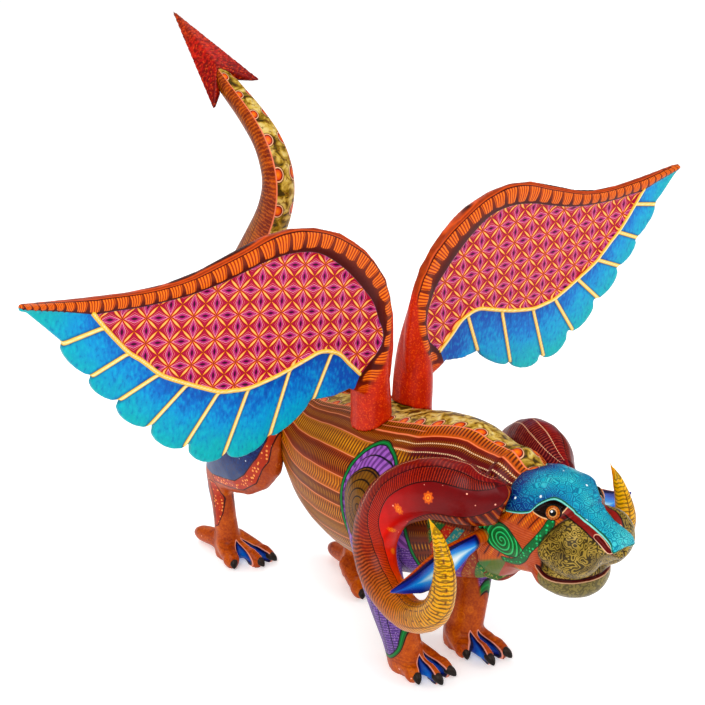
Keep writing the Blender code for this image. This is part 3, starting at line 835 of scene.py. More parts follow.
def first_hit(tree, origin, direction):
    """Where a ray, in millimetres, first meets the tree, or None."""
    place, *_ = tree.ray_cast(Vector(origin) * MM, Vector(direction))
    return None if place is None else np.array(place) / MM


def spread(grid, reach, pick):
    """Each cell becomes the pick (np.maximum or np.minimum) of its neighbourhood."""
    padded = np.pad(grid, ((reach, reach), (0, 0)), mode="edge")
    rows = padded[reach:-reach].copy()
    for shift in range(-reach, reach + 1):
        rows = pick(rows, padded[reach + shift:len(padded) - reach + shift])
    made = rows.copy()
    for shift in range(-reach, reach + 1):
        made = pick(made, np.roll(rows, shift, axis=1))
    return made


def blur(grid, reach):
    """A soft average over rows and, all the way round, over columns."""
    for _ in range(reach):
        padded = np.pad(grid, ((1, 1), (0, 0)), mode="edge")
        grid = 0.25 * padded[:-2] + 0.5 * grid + 0.25 * padded[2:]
        grid = 0.25 * np.roll(grid, 1, 1) + 0.5 * grid + 0.25 * np.roll(grid, -1, 1)
    return grid


def body_axis(tree, low, high, count):
    """Heights of the torso's middle line at evenly spread distances along the back."""
    ys = np.sin(np.linspace(-0.5, 1, count) * pi / 2)
    ys = low + 0.3 + (ys - ys[0]) * (high - low - 0.6) / (ys[-1] - ys[0])
    tops = [first_hit(tree, (0.0, y, 900.0), (0, 0, -1)) for y in ys]
    floors = [first_hit(tree, (0.0, y, -900.0), (0, 0, 1)) for y in ys]
    return ys, np.array([(t[2] + f[2]) / 2 for t, f in zip(tops, floors)])


def make_torso():
    low, high = box("torso")
    tree = tree_of("torso")
    ys, heights = body_axis(tree, low[1], high[1] - 6, 150)
    columns = 180
    turns = np.linspace(0, 2 * pi, columns, endpoint=False)
    radii = np.zeros((len(ys), columns))
    for row, (y, height) in enumerate(zip(ys, heights)):
        for column, turn in enumerate(turns):
            way = Vector((sin(turn), 0, cos(turn)))
            hit = first_hit(tree, Vector((0, y, height)) + way * 200, -way)
            radii[row, column] = 0 if hit is None else np.hypot(hit[0], hit[2] - height)
    smooth = blur(spread(spread(radii, 6, np.maximum), 6, np.minimum), 12)
    hold = step_up(ys, high[1] - 22, high[1] - 8)[:, None]
    radii = smooth * (1 - hold) + blur(radii, 2) * hold

    bm = bmesh.new()
    rings = []
    for y, height, row in zip(ys, heights, radii):
        rings.append([
            bm.verts.new(Vector((sin(t) * r, y, height + cos(t) * r)) * MM)
            for t, r in zip(turns, row)
        ])
    for ring, following in zip(rings, rings[1:]):
        for k in range(columns):
            bm.faces.new((ring[k - 1], ring[k], following[k], following[k - 1]))
    for ring, way in ((rings[0], -1), (rings[-1], 1)):
        middle = sum((v.co for v in ring), Vector()) / columns
        rise = 0.0 if way < 0 else 5.0 * MM
        tip = bm.verts.new(middle + Vector((0, rise, 0)))
        for k in range(columns):
            bm.faces.new((ring[k], ring[k - 1], tip) if way < 0 else (ring[k - 1], ring[k], tip))
    bmesh.ops.recalc_face_normals(bm, faces=bm.faces)
    mesh = bpy.data.meshes.new("torso_carving")
    bm.to_mesh(mesh)
    bm.free()
    torso = bpy.data.objects.new("torso_carving", mesh)
    bpy.context.scene.collection.objects.link(torso)
    for which, _ in SIDES:
        cut_socket(torso, f"wing_{which}", f"{which}_wing_pull")
    cut_socket(torso, "tail", "tail_pull")
    torso.data.shade_smooth()
    stand_in(torso, "torso", "figure")

    points = points_of(torso.data)
    middle = np.interp(points[:, 1], ys, heights)
    add_field(torso, "girth", girth_of(points, middle))
    add_field(torso, "leaf", leaf_depth(points))
    return torso, (heights[0], radii[0])


# How far the painted spine strays from the middle: distance along the back, then aside
SPINE = ((-190, 4), (-175, 6), (-153, 10), (-129, 10), (-107, 4), (-89, -2), (-49, -2),
         (-10, 0))


def girth_of(points, middle):
    """0 on the painted spine, 1 under the belly, the same on both sides."""
    height = points[:, 2] - middle
    upper = np.clip(height / (np.hypot(points[:, 0], height) + 1e-6), 0, 1)
    places, strays = np.array(SPINE, float).T
    stray = np.interp(points[:, 1], places, strays) * upper**2
    return np.arctan2(np.abs(points[:, 0] - stray), height) / pi


def joint_axis(name):
    found = [joint for joint in frame["joints"] if joint["name"] == name][0]
    return np.array(found["axis"], float) / np.linalg.norm(found["axis"])


def cut_socket(piece, node, joint, reach=60.0, play=0.4):
    """Cuts the socket that a node's tenon slides in, along its joint's axis."""
    axis = joint_axis(joint)
    points = points_of(frame["nodes"][node].data)
    depth = points @ axis
    end = points[depth < depth.min() + 0.2]
    middle = end.mean(axis=0)
    grown = middle + (end - middle) * (1 + play / np.linalg.norm(end - middle, axis=1).max())
    bm = bmesh.new()
    for ring in (grown - axis * play, grown + axis * reach):
        for place in ring:
            bm.verts.new(Vector(place) * MM)
    bmesh.ops.remove_doubles(bm, verts=bm.verts, dist=0.01 * MM)
    bmesh.ops.convex_hull(bm, input=bm.verts)
    mesh = bpy.data.meshes.new("socket_tool")
    bm.to_mesh(mesh)
    bm.free()
    tool = bpy.data.objects.new("socket_tool", mesh)
    bpy.context.scene.collection.objects.link(tool)
    cut = piece.modifiers.new("socket", "BOOLEAN")
    cut.operation = "DIFFERENCE"
    cut.object = tool
    cut.solver = "EXACT"
    apply_modifiers(piece)
    bpy.data.objects.remove(tool)


# Outline of the painted leaf over a shoulder: distance along the body, then height
SHOULDER_LEAF = ((-66, 183), (-57, 181), (-47, 173), (-40, 160), (-38, 141), (-44, 110),
                 (-50, 80), (-54, 60), (-57, 42), (-60, 30), (-64, 20), (-70, 13), (-78, 12),
                 (-86, 18), (-92, 27), (-96, 42), (-100, 60), (-102, 80), (-102, 110),
                 (-98, 141), (-94, 158), (-86, 170), (-79, 178))


def leaf_depth(points):
    """How far inside the painted shoulder leaf each point is, less than 0 outside it."""
    return np.clip(region(points[:, 1:], smooth_curve(SHOULDER_LEAF + SHOULDER_LEAF[:1], 4)), -9, 99)


def leaf_paint(paint, inner_side):
    """The shoulder leaf: green rim, two lilac arcs over olive ones, a violet panel below."""
    depth = paint.field("leaf")
    dy, dz = (paint.y + 68) * 1.3, paint.z - 141
    arcs = (dy * dy + dz * dz).root()
    spokes = (dy.math("ARCTAN2", dz) * 34).sine()
    lilac = paint.mix(paint.noise(6.0), tint(140, 88, 166), tint(186, 134, 206))
    lilac = paint.mix(spokes.over(0.1, 0.4) * 0.6, lilac, tint(56, 22, 80))
    olive = paint.mix(paint.noise(6.0, 3.0), tint(104, 62, 26), tint(150, 108, 44))
    olive = paint.mix((spokes + (paint.noise(2.0) - 0.5)).over(0.3, 0.3) * 0.45, olive,
                      tint(62, 34, 14))
    olive = paint.mix(arcs.repeat(5.6).line(0.5, 0.09, 0.06), olive, tint(34, 22, 12))
    upper = paint.mix(arcs.over(27, 0.4), olive, lilac)
    upper = paint.mix(arcs.line(27, 0.5, 0.3).most(arcs.line(34, 0.45, 0.3)), upper, tint(20, 12, 30))
    hatch = (paint.z * 2.6 + paint.y * 0.8).sine().over(0.1, 0.4)
    violet = paint.mix(paint.noise(5.0), tint(100, 76, 140), tint(146, 112, 178))
    violet = paint.mix(hatch * 0.6, violet, tint(44, 24, 84))
    violet = paint.mix(paint.cells(1.7).under(0.3, 0.1) * 0.45, violet, tint(206, 180, 220))
    for slope, start in ((0.03, -86), (0.16, -78), (0.3, -70)):
        vein = paint.y - start - (paint.z - 30) * slope * -0.4
        violet = paint.mix(vein.line(0, 0.4, 0.3), violet, tint(20, 12, 40))
    whole = paint.mix(paint.z.over(112, 0.6), violet, upper)
    whole = paint.mix(depth.line(2.5, 0.4, 0.2), whole, tint(14, 16, 20))
    whole = paint.mix(depth.under(2.2, 0.2), whole, tint(14, 112, 54))
    whole = paint.mix(depth.line(1.2, 0.25, 0.2) * 0.5, whole, tint(70, 170, 100))
    paint.lay(tint(40, 20, 14), depth.line(-0.3, 0.35, 0.2) * inner_side)
    paint.lay(whole, depth.over(0, 0.2) * inner_side)
    paint.lift(0.35, depth.within(0.1, 2.2, 0.3) * inner_side)


STRIPES = (0.14, 0.2, 0.28, 0.375, 0.44, 0.495, 0.575, 0.65, 0.72, 0.8, 0.88)


def torso_coats(paint, girth, run):
    """The stripes that run the length of the back and flanks."""
    flank = paint.ramp(girth, (
        (0.00, tint(150, 84, 40)), (0.14, tint(140, 78, 52)), (0.20, tint(186, 118, 34)),
        (0.28, tint(150, 66, 28)), (0.375, tint(190, 108, 34)), (0.44, tint(132, 72, 30)),
        (0.495, tint(176, 106, 44)), (0.575, tint(148, 98, 48)), (0.65, tint(156, 104, 62)),
        (0.72, tint(172, 126, 84)), (0.80, tint(132, 84, 48)), (0.88, tint(150, 98, 60)),
    ), smooth=False)
    front = paint.ramp(girth, (
        (0.00, tint(196, 96, 30)), (0.14, tint(128, 50, 40)), (0.165, tint(116, 50, 50)),
        (0.24, tint(108, 42, 40)), (0.32, tint(140, 40, 26)), (0.42, tint(130, 60, 34)),
        (0.52, tint(120, 60, 34)),
    ), smooth=False)
    paint.colour = paint.mix(run.under(-88, 6), flank, front)
    levels = (0.0, *STRIPES, 1.0)
    for index, (low, high) in enumerate(zip(levels, levels[1:])):
        band = girth.within(low, high, 0.001)
        local = (girth - low) / (high - low)
        pitch = (2.6, 1.7, 2.9, 2.3, 3.1, 2.0)[index % 6]
        lean = (1.6, -0.9, 0.0, 2.2, -1.5, 0.6)[index % 6]
        hatch = ((run / pitch + (local - 0.5).size() * lean) * 2 * pi).sine()
        dark = hatch.over(0.1, 0.5) * local.within(0.1, 0.9, 0.05)
        paint.lay(tint(62, 24, 12), dark * band * (0.8, 0.45, 0.7, 0.8, 0.6, 0.5)[index % 6])
        light = hatch.under(-0.5, 0.3) * local.within(0.3, 0.7, 0.1)
        paint.lay(tint(232, 170, 76), light * band * (0.5, 0.35, 0.6, 0.35, 0.45, 0.4)[index % 6])


def cream_lines(paint, girth, where):
    for level in (0.11, *STRIPES):
        paint.lay(tint(226, 150, 120), girth.line(level, 0.0019, 0.0012) * where)


def dorsal_paint(paint, girth, run, edge, pitch, scale):
    """The mottled golden band down the spine, edged with a cream line and half-rounds.

    scale is how many millimetres round the form one unit of girth spans.
    """
    band = girth.under(edge, 0.002)
    mottle = paint.noise(9.0, 3.0, twist=0.8)
    gold = paint.ramp(mottle, (
        (0.36, tint(74, 62, 30)), (0.44, tint(150, 122, 58)), (0.54, tint(204, 176, 104)),
        (0.7, tint(224, 208, 152)),
    ))
    gold = paint.mix(paint.noise(3.0, 3.0).over(0.6, 0.05) * 0.6, gold, tint(96, 50, 30))
    paint.lay(gold, band)
    along = (run.repeat(pitch) - 0.5) * pitch
    across = (edge - girth) * scale - 1.6
    far = (along * along + across * across).root()
    disc = paint.mix(far / 3.0, tint(240, 150, 70), tint(214, 70, 18))
    paint.lay(tint(60, 30, 16), far.under(5.3, 0.3) * band * 0.8)
    paint.lay(tint(244, 196, 160), far.under(4.7, 0.25) * band)
    paint.lay(tint(110, 26, 16), far.under(4.0, 0.25) * band)
    paint.lay(disc, far.under(3.2, 0.25) * band)
    paint.lay(tint(236, 150, 124), girth.line(edge, 0.55 / scale, 0.3 / scale))
    paint.lift(0.3, far.under(4.7, 0.6) * band)


def torso_paint():
    paint = Painter("torso_paint", tint(140, 70, 40))
    girth = paint.field("girth")
    run = paint.y
    torso_coats(paint, girth, run)
    cream_lines(paint, girth, run.over(-92, 3))
    neck = run.under(-70, 3)
    dots = run.wave(1.7).over(0.35, 0.2)
    for level in (0.168, 0.205):
        paint.lay(tint(246, 214, 176), girth.line(level, 0.0024, 0.0015) * neck * dots)
    paint.lay(tint(240, 150, 120), girth.line(0.137, 0.0024, 0.0015) * run.under(-40, 4))
    dorsal_paint(paint, girth, run + 2, 0.083, 17.0, 180.0)
    throat = run.under(-118, 2) * girth.over(0.52, 0.01)
    slant = run * 0.8 + paint.z * 0.6
    patch = (slant / 6.5).floor()
    colours = paint.ramp(patch.random(2.0), (
        (0.0, tint(24, 120, 70)), (0.25, tint(30, 140, 140)), (0.45, tint(150, 60, 34)),
        (0.65, tint(112, 62, 140)), (0.8, tint(60, 110, 50)), (0.9, tint(190, 60, 50)),
    ), smooth=False)
    colours = paint.mix(paint.cells(2.2).under(0.35, 0.1) * 0.5, colours, tint(210, 190, 120))
    colours = paint.mix(slant.repeat(6.5).over(0.9, 0.03), colours, tint(120, 24, 24))
    paint.lay(colours, throat * 0.9)
    leaf_paint(paint, paint.x.size().over(24, 1))
    return paint.done(roughness=0.4, coat=0.3)


# ---------------------------------------------------------------- tail

def make_tail():
    low, high = box("tail")
    axis = joint_axis("tail_pull")
    ends = points_of(frame["nodes"]["tail"].data)
    depth = (ends @ axis).min()

    def tenon(points):
        return step_up(depth + 27 - points @ axis, -1, 1)

    tail = carved("tail", "tail", 1.8, 70, keep=tenon)
    points = points_of(tail.data)
    root = ends[np.argmin(ends @ axis)]
    line = centre_line(tail.data, root, count=48)
    run, foot, tangent = frame_along(points, line)
    above = np.column_stack([np.zeros(len(points)), -tangent[:, 2], tangent[:, 1]])
    offset = points - foot
    height = np.sum(offset * above, axis=1)
    add_field(tail, "girth", np.arctan2(np.abs(offset[:, 0]), height) / pi)
    add_field(tail, "run", run)
    add_field(tail, "bare", tenon(points))
    return tail


def tail_paint():
    paint = Painter("tail_paint", tint(176, 96, 36))
    girth = paint.field("girth")
    run = paint.field("run")
    side = paint.mix(girth.over(0.42, 0.2), tint(186, 84, 24), tint(150, 92, 34))
    side = paint.mix(paint.noise(9.0, 3.0).over(0.5, 0.12) * 0.7, side, tint(118, 40, 16))
    fleck = paint.noise(2.4, 3.0)
    hatch = (run / 3.1 + (girth - 0.4).size() * 1.6 + (fleck - 0.5) * 1.4).repeat(1.0)
    side = paint.mix((hatch - 0.5).size().under(0.16, 0.1) * 0.5, side, tint(96, 34, 12))
    side = paint.mix((hatch - 0.5).size().over(0.4, 0.06) * 0.4, side, tint(226, 130, 46))
    paint.colour = side
    for level in (0.5, 0.7):
        paint.lay(tint(96, 44, 20), girth.line(level, 0.008, 0.004))
    dorsal_paint(paint, girth, run, 0.2, 23.5, 46.0)
    paint.lay(tint(204, 160, 104), paint.field("bare"))
    return paint.done(roughness=0.4, coat=0.3)


def make_arrowhead():
    arrow = carved("tail_arrowhead", "tail", 1.1, 5)
    points = points_of(arrow.data)
    low, high = box("tail_arrowhead")
    tip = points[np.argmax(points[:, 1] + points[:, 2] * 0.6)]
    add_field(arrow, "reach", np.linalg.norm(points - tip, axis=1))
    return arrow


def arrowhead_paint():
    paint = Painter("arrowhead_paint", tint(190, 50, 16))
    reach = paint.field("reach")
    cloud = paint.noise(12.0, 3.0)
    shade = reach / 118 + (cloud - 0.5) * 0.35
    paint.colour = paint.ramp(shade, (
        (0.0, tint(140, 62, 18)), (0.2, tint(188, 62, 14)), (0.45, tint(196, 34, 12)),
        (0.65, tint(168, 22, 12)), (0.85, tint(136, 18, 14)), (1.0, tint(100, 22, 20)),
    ))
    paint.lay(tint(96, 12, 8), paint.noise(3.0, 4.0).over(0.5, 0.12) * 0.7)
    paint.lay(tint(232, 92, 22), paint.noise(2.0, 3.0).over(0.6, 0.08) * 0.6)
    return paint.done(roughness=0.42, coat=0.25)


# ---------------------------------------------------------------- ears

def make_ear(which, side):
    node = f"ear_{which}"
    low, high = box(node)
    joint = f"{which}_ear_pull"
    axis = joint_axis(joint)
    ends = points_of(frame["nodes"][node].data)
    depth = (ends @ axis).min()

    def peg(points):
        return step_up(depth + 17 - points @ axis, -0.6, 0.6)

    ear = carved(node, f"{which}_ear", 0.9, 14, finer=0, keep=peg)
    points = points_of(ear.data)
    root = ends[np.argmin(ends @ axis)]
    tip = ends[np.argmax(np.abs(ends[:, 0]))]
    chord = (tip - root) * (1, 0, 1)
    long = np.linalg.norm(chord)
    chord = chord / long
    up = np.array((-chord[2], 0.0, chord[0])) * side
    run = (points - root) @ chord
    rise = (points - root) @ up
    stops = np.linspace(0, long, 40)
    reach = long / 40
    tops = np.array([rise[np.abs(run - at) < reach].max(initial=-99) for at in stops])
    lows = np.array([rise[np.abs(run - at) < reach].min(initial=99) for at in stops])
    for _ in range(2):
        tops[1:-1] = (tops[:-2] + 2 * tops[1:-1] + tops[2:]) / 4
        lows[1:-1] = (lows[:-2] + 2 * lows[1:-1] + lows[2:]) / 4
    middle = np.interp(run, stops, (tops + lows) / 2)
    half = np.maximum(np.interp(run, stops, (tops - lows) / 2), 0.5)
    across = (rise - middle) / half
    facing = -normals_of(ear.data)[:, 1]
    place = run / long
    wider = 0.24 * step_up(place, 0.18, 0.42) * step_up(1 - place, 0.12, 0.5)
    points += np.outer((rise - middle) * wider, up)
    dish = np.clip(1 - (across / 0.8) ** 2, 0, 1) * step_up(facing, 0.0, 0.4)
    dish = dish * step_up(place, 0.26, 0.42) * step_up(1 - place, 0.04, 0.24)
    points[:, 1] += 2.6 * dish
    move_points(ear.data, points)
    add_field(ear, "facing", facing)
    add_field(ear, "across", across)
    add_field(ear, "place", place)
    add_field(ear, "bare", peg(points))
    return ear


def ear_paint():
    paint = Painter("ear_paint", tint(186, 84, 30))
    place = paint.field("place")
    facing = paint.field("facing")
    across = paint.field("across")
    cloud = paint.noise(7.0, 3.0)
    paint.colour = paint.mix(cloud, tint(176, 72, 20), tint(212, 108, 36))
    hatch = (place * 250).sine().over(0.5, 0.3)
    paint.lay(tint(120, 44, 16), hatch * 0.35)
    reach = across.size()
    # the inner face's blue: navy toward its rim, paler inward, with a painted white highlight in the middle of the
    # dish
    blue_to_highlight = (1.05 - (place - 0.52).size() * 2.2 - (reach - 0.1) * 0.95).most(0).least(1)
    blue = paint.ramp(blue_to_highlight, (
        (0.0, tint(4, 44, 140)), (0.25, tint(8, 100, 200)), (0.5, tint(50, 150, 226)),
        (0.72, tint(180, 218, 238)), (0.9, tint(240, 248, 252)),
    ))
    inside_face = facing.over(0.02, 0.05) * place.over(0.24, 0.01)
    paint.lay(tint(6, 10, 76), inside_face * reach.under(0.95, 0.03))
    paint.lay(blue, inside_face * reach.under(0.8, 0.05) * place.over(0.27, 0.02))
    paint.lay(tint(204, 160, 104), paint.field("bare"))
    return paint.done(roughness=0.26, coat=0.7, wear=0.25)


# ---------------------------------------------------------------- legs

def sole(name):
    """The middle of a foot's sole, from the record's mounts, in millimetres."""
    for mount in frame["record"]["mounts"]:
        if mount["name"] == name:
            return np.array(mount["pos_m"], float) / MM
    raise KeyError(name)


# Toe tips from the outer toe to the inner one: out from the ankle, then ahead
TOES = {
    "front_right": ((-9, -22), (2, -33), (16, -31)),
    "front_left": ((-13, -37), (3, -36), (11, -18)),
    "hind_right": ((-11, -22), (8, -34), (21, -33)),
    "hind_left": ((-11, -22), (8, -34), (21, -33)),
}
# Painted fields of a hind leg, seen from its side: behind the ankle, then height
NAVY = ((-84, 178), (-84, 142), (-76, 126), (-60, 106), (-45, 95), (-8, 87), (22, 90),
        (44, 120), (44, 178))
DOTTED = ((-91, 178), (-89, 142), (-86, 125), (-71, 101), (-52, 88), (-30, 83), (-8, 80),
          (-8, 87), (-45, 95), (-60, 106), (-76, 126), (-84, 142), (-84, 178))
SHANK_DOTS = ((-8, 78), (-8, 60), (-5, 45), (0, 33), (4, 30), (3, 45), (1, 61), (1, 78))
SHANK_BLUE = ((7, 84), (6, 60), (8, 36), (30, 36), (30, 84))


def make_leg(kind, which, side):
    node = f"{kind}_leg_{which}"
    ankle = sole(f"sole_{kind}_{which}")
    leg = carved(node, "figure", 1.7, 34)
    points = points_of(leg.data)
    normals = normals_of(leg.data)
    if kind == "front":
        sink = step_up(points[:, 2], 150, 178)  # the top lies flush under the shoulder
        points[:, 0] -= side * 6.5 * sink
        points[:, 2] -= 4 * sink
    rel = points - ankle
    out = -rel[:, 0] * side
    webs = np.full(len(points), -9.0)
    tips = np.array(TOES[f"{kind}_{which}"], float)
    for first, second in zip(tips, tips[1:]):
        way = (first + second) / 2
        way = way / np.linalg.norm(way)
        along = out * way[0] + rel[:, 1] * way[1]
        aside = np.abs(rel[:, 1] * way[0] - out * way[1])
        half = 4.6 * (1 - (rel[:, 2] / 18.5) ** 2)
        webs = np.maximum(webs, np.where(along > 9, half - aside, -9.0))
    press = step_up(webs, -0.6, 1.4) * step_up(19 - rel[:, 2], 0, 4)
    points -= normals * press[:, None] * 1.8
    for out_way, ahead in tips:
        toe = np.array([(out_way * 0.5, ahead * 0.5, 7.0), (out_way, ahead, 5.0)])
        spot = np.column_stack([out, rel[:, 1], rel[:, 2]])
        away, run, _, _ = nearest_on(spot, toe)
        swell = step_up(9.5 - away, 0, 3) * step_up(run, 2, 9) * (1 - press)
        points += normals * swell[:, None] * 1.7
    points[:, 2] = np.maximum(points[:, 2], 0.0)
    low = points[:, 2] < 0.8
    points[low, 2] = 0.0
    move_points(leg.data, points)
    add_field(leg, "web", webs)
    outside = np.full(len(points), -9.0)
    add_field(leg, "leaf", leaf_depth(points) if kind == "front" else outside)
    shin = np.clip((176 - rel[:, 2]) / 76, 0, 1)
    other = sole(f"sole_{kind}_right")
    behind = points[:, 1] - (ankle[1] - other[1]) * shin - other[1]
    flat = np.column_stack([behind, rel[:, 2]])
    for name, outline in (("navy", NAVY), ("dotted", DOTTED), ("shank_dots", SHANK_DOTS),
                          ("shank_blue", SHANK_BLUE)):
        add_field(leg, name, region(flat, outline) if kind == "hind" else np.full(len(points), -9.0))
    add_field(leg, "outer", points[:, 0] * side - ankle[0] * side)
    add_field(leg, "down", rel[:, 2])
    add_claws(kind, which, side, ankle, tips)
    return leg


def small_loft(bm, stations, sides=16, steps=6):
    """Adds a rounded form through (x, y, z, radius) stations, in millimetres, to a bmesh."""
    rows = smooth_curve(stations, steps)
    centres, radii = rows[:, :3], np.maximum(rows[:, 3], 0.05)
    tangents = np.gradient(centres, axis=0)
    hint = np.array((0.02, 0.03, 1.0))
    if abs((tangents[0] / np.linalg.norm(tangents[0]))[2]) > 0.9:
        hint = np.array((1.0, 0.02, 0.03))
    rings = []
    for centre, tangent, radius in zip(centres, tangents, radii):
        along = tangent / np.linalg.norm(tangent)
        first = np.cross(along, hint)
        first /= np.linalg.norm(first)
        second = np.cross(along, first)
        ring = []
        for k in range(sides):
            turn = 2 * pi * k / sides
            place = centre + (first * cos(turn) + second * sin(turn)) * radius
            ring.append(bm.verts.new(Vector(place) * MM))
        rings.append(ring)
    for ring, following in zip(rings, rings[1:]):
        for k in range(sides):
            bm.faces.new((ring[k - 1], ring[k], following[k], following[k - 1]))
    for ring, row in ((rings[0], rows[0]), (rings[-1], rows[-1])):
        bm.faces.new(ring)


def finish_small(bm, name, body):
    bmesh.ops.recalc_face_normals(bm, faces=bm.faces)
    mesh = bpy.data.meshes.new(name)
    bm.to_mesh(mesh)
    bm.free()
    mesh.shade_smooth()
    piece = bpy.data.objects.new(name, mesh)
    bpy.context.scene.collection.objects.link(piece)
    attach(piece, body)
    return piece


def add_claws(kind, which, side, ankle, tips):
    bm = bmesh.new()
    for out, ahead in tips:
        reach = np.array((-out * side, ahead)) if side > 0 else np.array((out, ahead))
        way = reach / np.linalg.norm(reach)
        stations = []
        for along, height, radius in ((-4.6, 6.4, 1.9), (-3.2, 6.4, 3.3), (-0.5, 6.0, 3.7),
                                      (2.2, 4.6, 3.1), (4.2, 2.8, 1.7), (5.0, 1.8, 0.3)):
            x, y = ankle[:2] + reach + way * along
            stations.append((x, y, height, radius))
        small_loft(bm, stations)
    claws = finish_small(bm, f"claws_{kind}_{which}", "figure")
    for v in claws.data.vertices:
        v.co.z = max(v.co.z, 0.0)
    claws.data.materials.append(claw_material)
    return claws


def claw_paint():
    paint = Painter("claw_paint", tint(18, 16, 18))
    paint.colour = paint.mix(paint.z.over(6.5, 3.0), tint(14, 12, 14), tint(60, 54, 52))
    paint.lay(tint(110, 90, 74), (paint.y * 5.0 + paint.z * 5.0).sine().over(0.8, 0.1) * 0.4)
    return paint.done(roughness=0.3, coat=0.6, wear=0.2)


def leg_paint():
    paint = Painter("limb_paint", tint(190, 84, 24))
    down = paint.field("down")
    outer = paint.field("outer")
    cloud = paint.noise(16.0, 3.0)
    fine = paint.noise(1.8, 4.0)
    shade = cloud * 0.6 + fine * 0.4
    paint.colour = paint.ramp(shade, (
        (0.3, tint(130, 48, 6)), (0.45, tint(174, 76, 8)), (0.58, tint(200, 98, 14)),
        (0.72, tint(216, 124, 36)),
    ))
    paint.lay(tint(140, 44, 16), down.over(60, 40) * cloud * 0.6)
    spots = paint.cells(12.0)
    paint.lay(tint(252, 196, 170), spots.under(0.07, 0.02) * 0.9)
    paint.lay(tint(234, 140, 70), spots.line(0.26, 0.03, 0.03) * cloud.over(0.55, 0.05) * 0.5)

    # little key marks over the toes
    toes = down.under(19, 1) * down.over(9, 1)
    key = (down.repeat(3.2) - 0.5).size().under(0.16, 0.08) * toes * paint.noise(9.0).over(0.5, 0.05)
    paint.lay(tint(96, 36, 20), key * 0.3)

    # a hind leg's blue haunch, its dotted band and the blue behind its shank
    navy = paint.field("navy")
    dotted = paint.field("dotted")
    outside = outer.over(-4, 3)
    haze = paint.noise(10.0, 3.0)
    deep = paint.mix((down / 40 - 2.2 + (haze - 0.5)).most(0).least(1), tint(84, 92, 120),
                     tint(20, 34, 92))
    deep = paint.mix(fine.over(0.55, 0.1) * 0.4, deep, tint(40, 90, 150))
    deep = paint.mix(paint.cells(7.0).under(0.09, 0.02), deep, tint(226, 236, 246))
    paint.lay(deep, navy.over(0, 0.5) * outside)
    band = paint.mix(paint.noise(5.0), tint(150, 36, 14), tint(206, 74, 26))
    band = paint.mix(paint.cells(3.6, jitter=0.6).under(0.28, 0.06), band, tint(252, 176, 120))
    paint.lay(band, dotted.over(0, 0.4).most(paint.field("shank_dots").over(0, 0.4)) * outside)
    rims = dotted.line(0, 0.45, 0.3).most(paint.field("shank_dots").line(0, 0.4, 0.3))
    paint.lay(tint(60, 20, 14), rims * outside)
    rear = paint.mix(haze, tint(40, 60, 104), tint(96, 112, 140))
    paint.lay(rear, paint.field("shank_blue").over(0, 1.0))
    leaf_paint(paint, (outer + (down - 110).most(0) * 0.5).over(6, 1.5))

    # the webs between the toes: bright blue, a navy rim, a pale pink line round them
    web = paint.field("web")
    blue = paint.mix((web / 4 + cloud - 0.6).most(0).least(1), tint(10, 50, 150), tint(30, 120, 210))
    paint.lay(tint(240, 176, 160), web.over(-1.1, 0.3) * down.under(21, 0.5))
    paint.lay(tint(8, 10, 70), web.over(-0.4, 0.3))
    paint.lay(blue, web.over(0.7, 0.3))
    return paint.done(roughness=0.36, coat=0.4)


# ---------------------------------------------------------------- head

# How far down from the crown the mask's edge lies, in degrees, along the face
MASK_EDGE = ((-262, 106), (-259, 100), (-256, 70), (-245, 46), (-235, 36), (-226, 33),
             (-218, 34), (-213, 38), (-207, 50), (-202, 62), (-189, 64), (-170, 60))
MASK_REAR = ((0, -189), (6, -184), (11, -178), (20, -178), (31, -183), (40, -186))
HEAD_AXIS = ((-262, 167), (-249, 166), (-235, 163), (-219, 163), (-201, 162), (-181, 156),
             (-160, 154), (-145, 153))
EYE = (22.8, -218.0, 182.3)
EYE_R = 6.0
SOCKET = (20.5, -214.1, 183.3)
MOUTH = ((-243, 138.0), (-234, 137.4), (-221, 138.0), (-210, 141.2), (-200, 143.0))
NOSTRIL = ((11.6, -247, 172.6), (11.4, -251, 170.5), (10.6, -257, 166.0))
GREEN_BAND = ((-181, 134), (-190, 136), (-199, 143), (-205, 152), (-212, 161.5), (-217.5, 171),
              (-219, 176))


def meet_neck(points, neck):
    """Swells or draws in the head's rear end until it is flush with the torso's neck."""
    height, radii = neck
    rear = points[:, 1].max()
    up = points[:, 2] - height
    radius = np.hypot(points[:, 0], up) + 1e-6
    count = len(radii)
    column = np.arctan2(points[:, 0], up) / (2 * pi) * count
    near = (points[:, 1] > rear - 9) & (points[:, 1] < rear - 4)
    own = np.array([
        radius[near & (np.abs((column - k + count / 2) % count - count / 2) < 2)].max(initial=1)
        for k in range(count)
    ])
    ratio = np.clip(radii / own, 0.85, 1.2)
    factor = np.interp(column % count, np.arange(count + 1), np.append(ratio, ratio[0]))
    share = step_up(points[:, 1], rear - 20, rear - 3)
    grown = 1 + (factor - 1) * share
    points[:, 0] *= grown
    points[:, 2] = height + up * grown
    return points


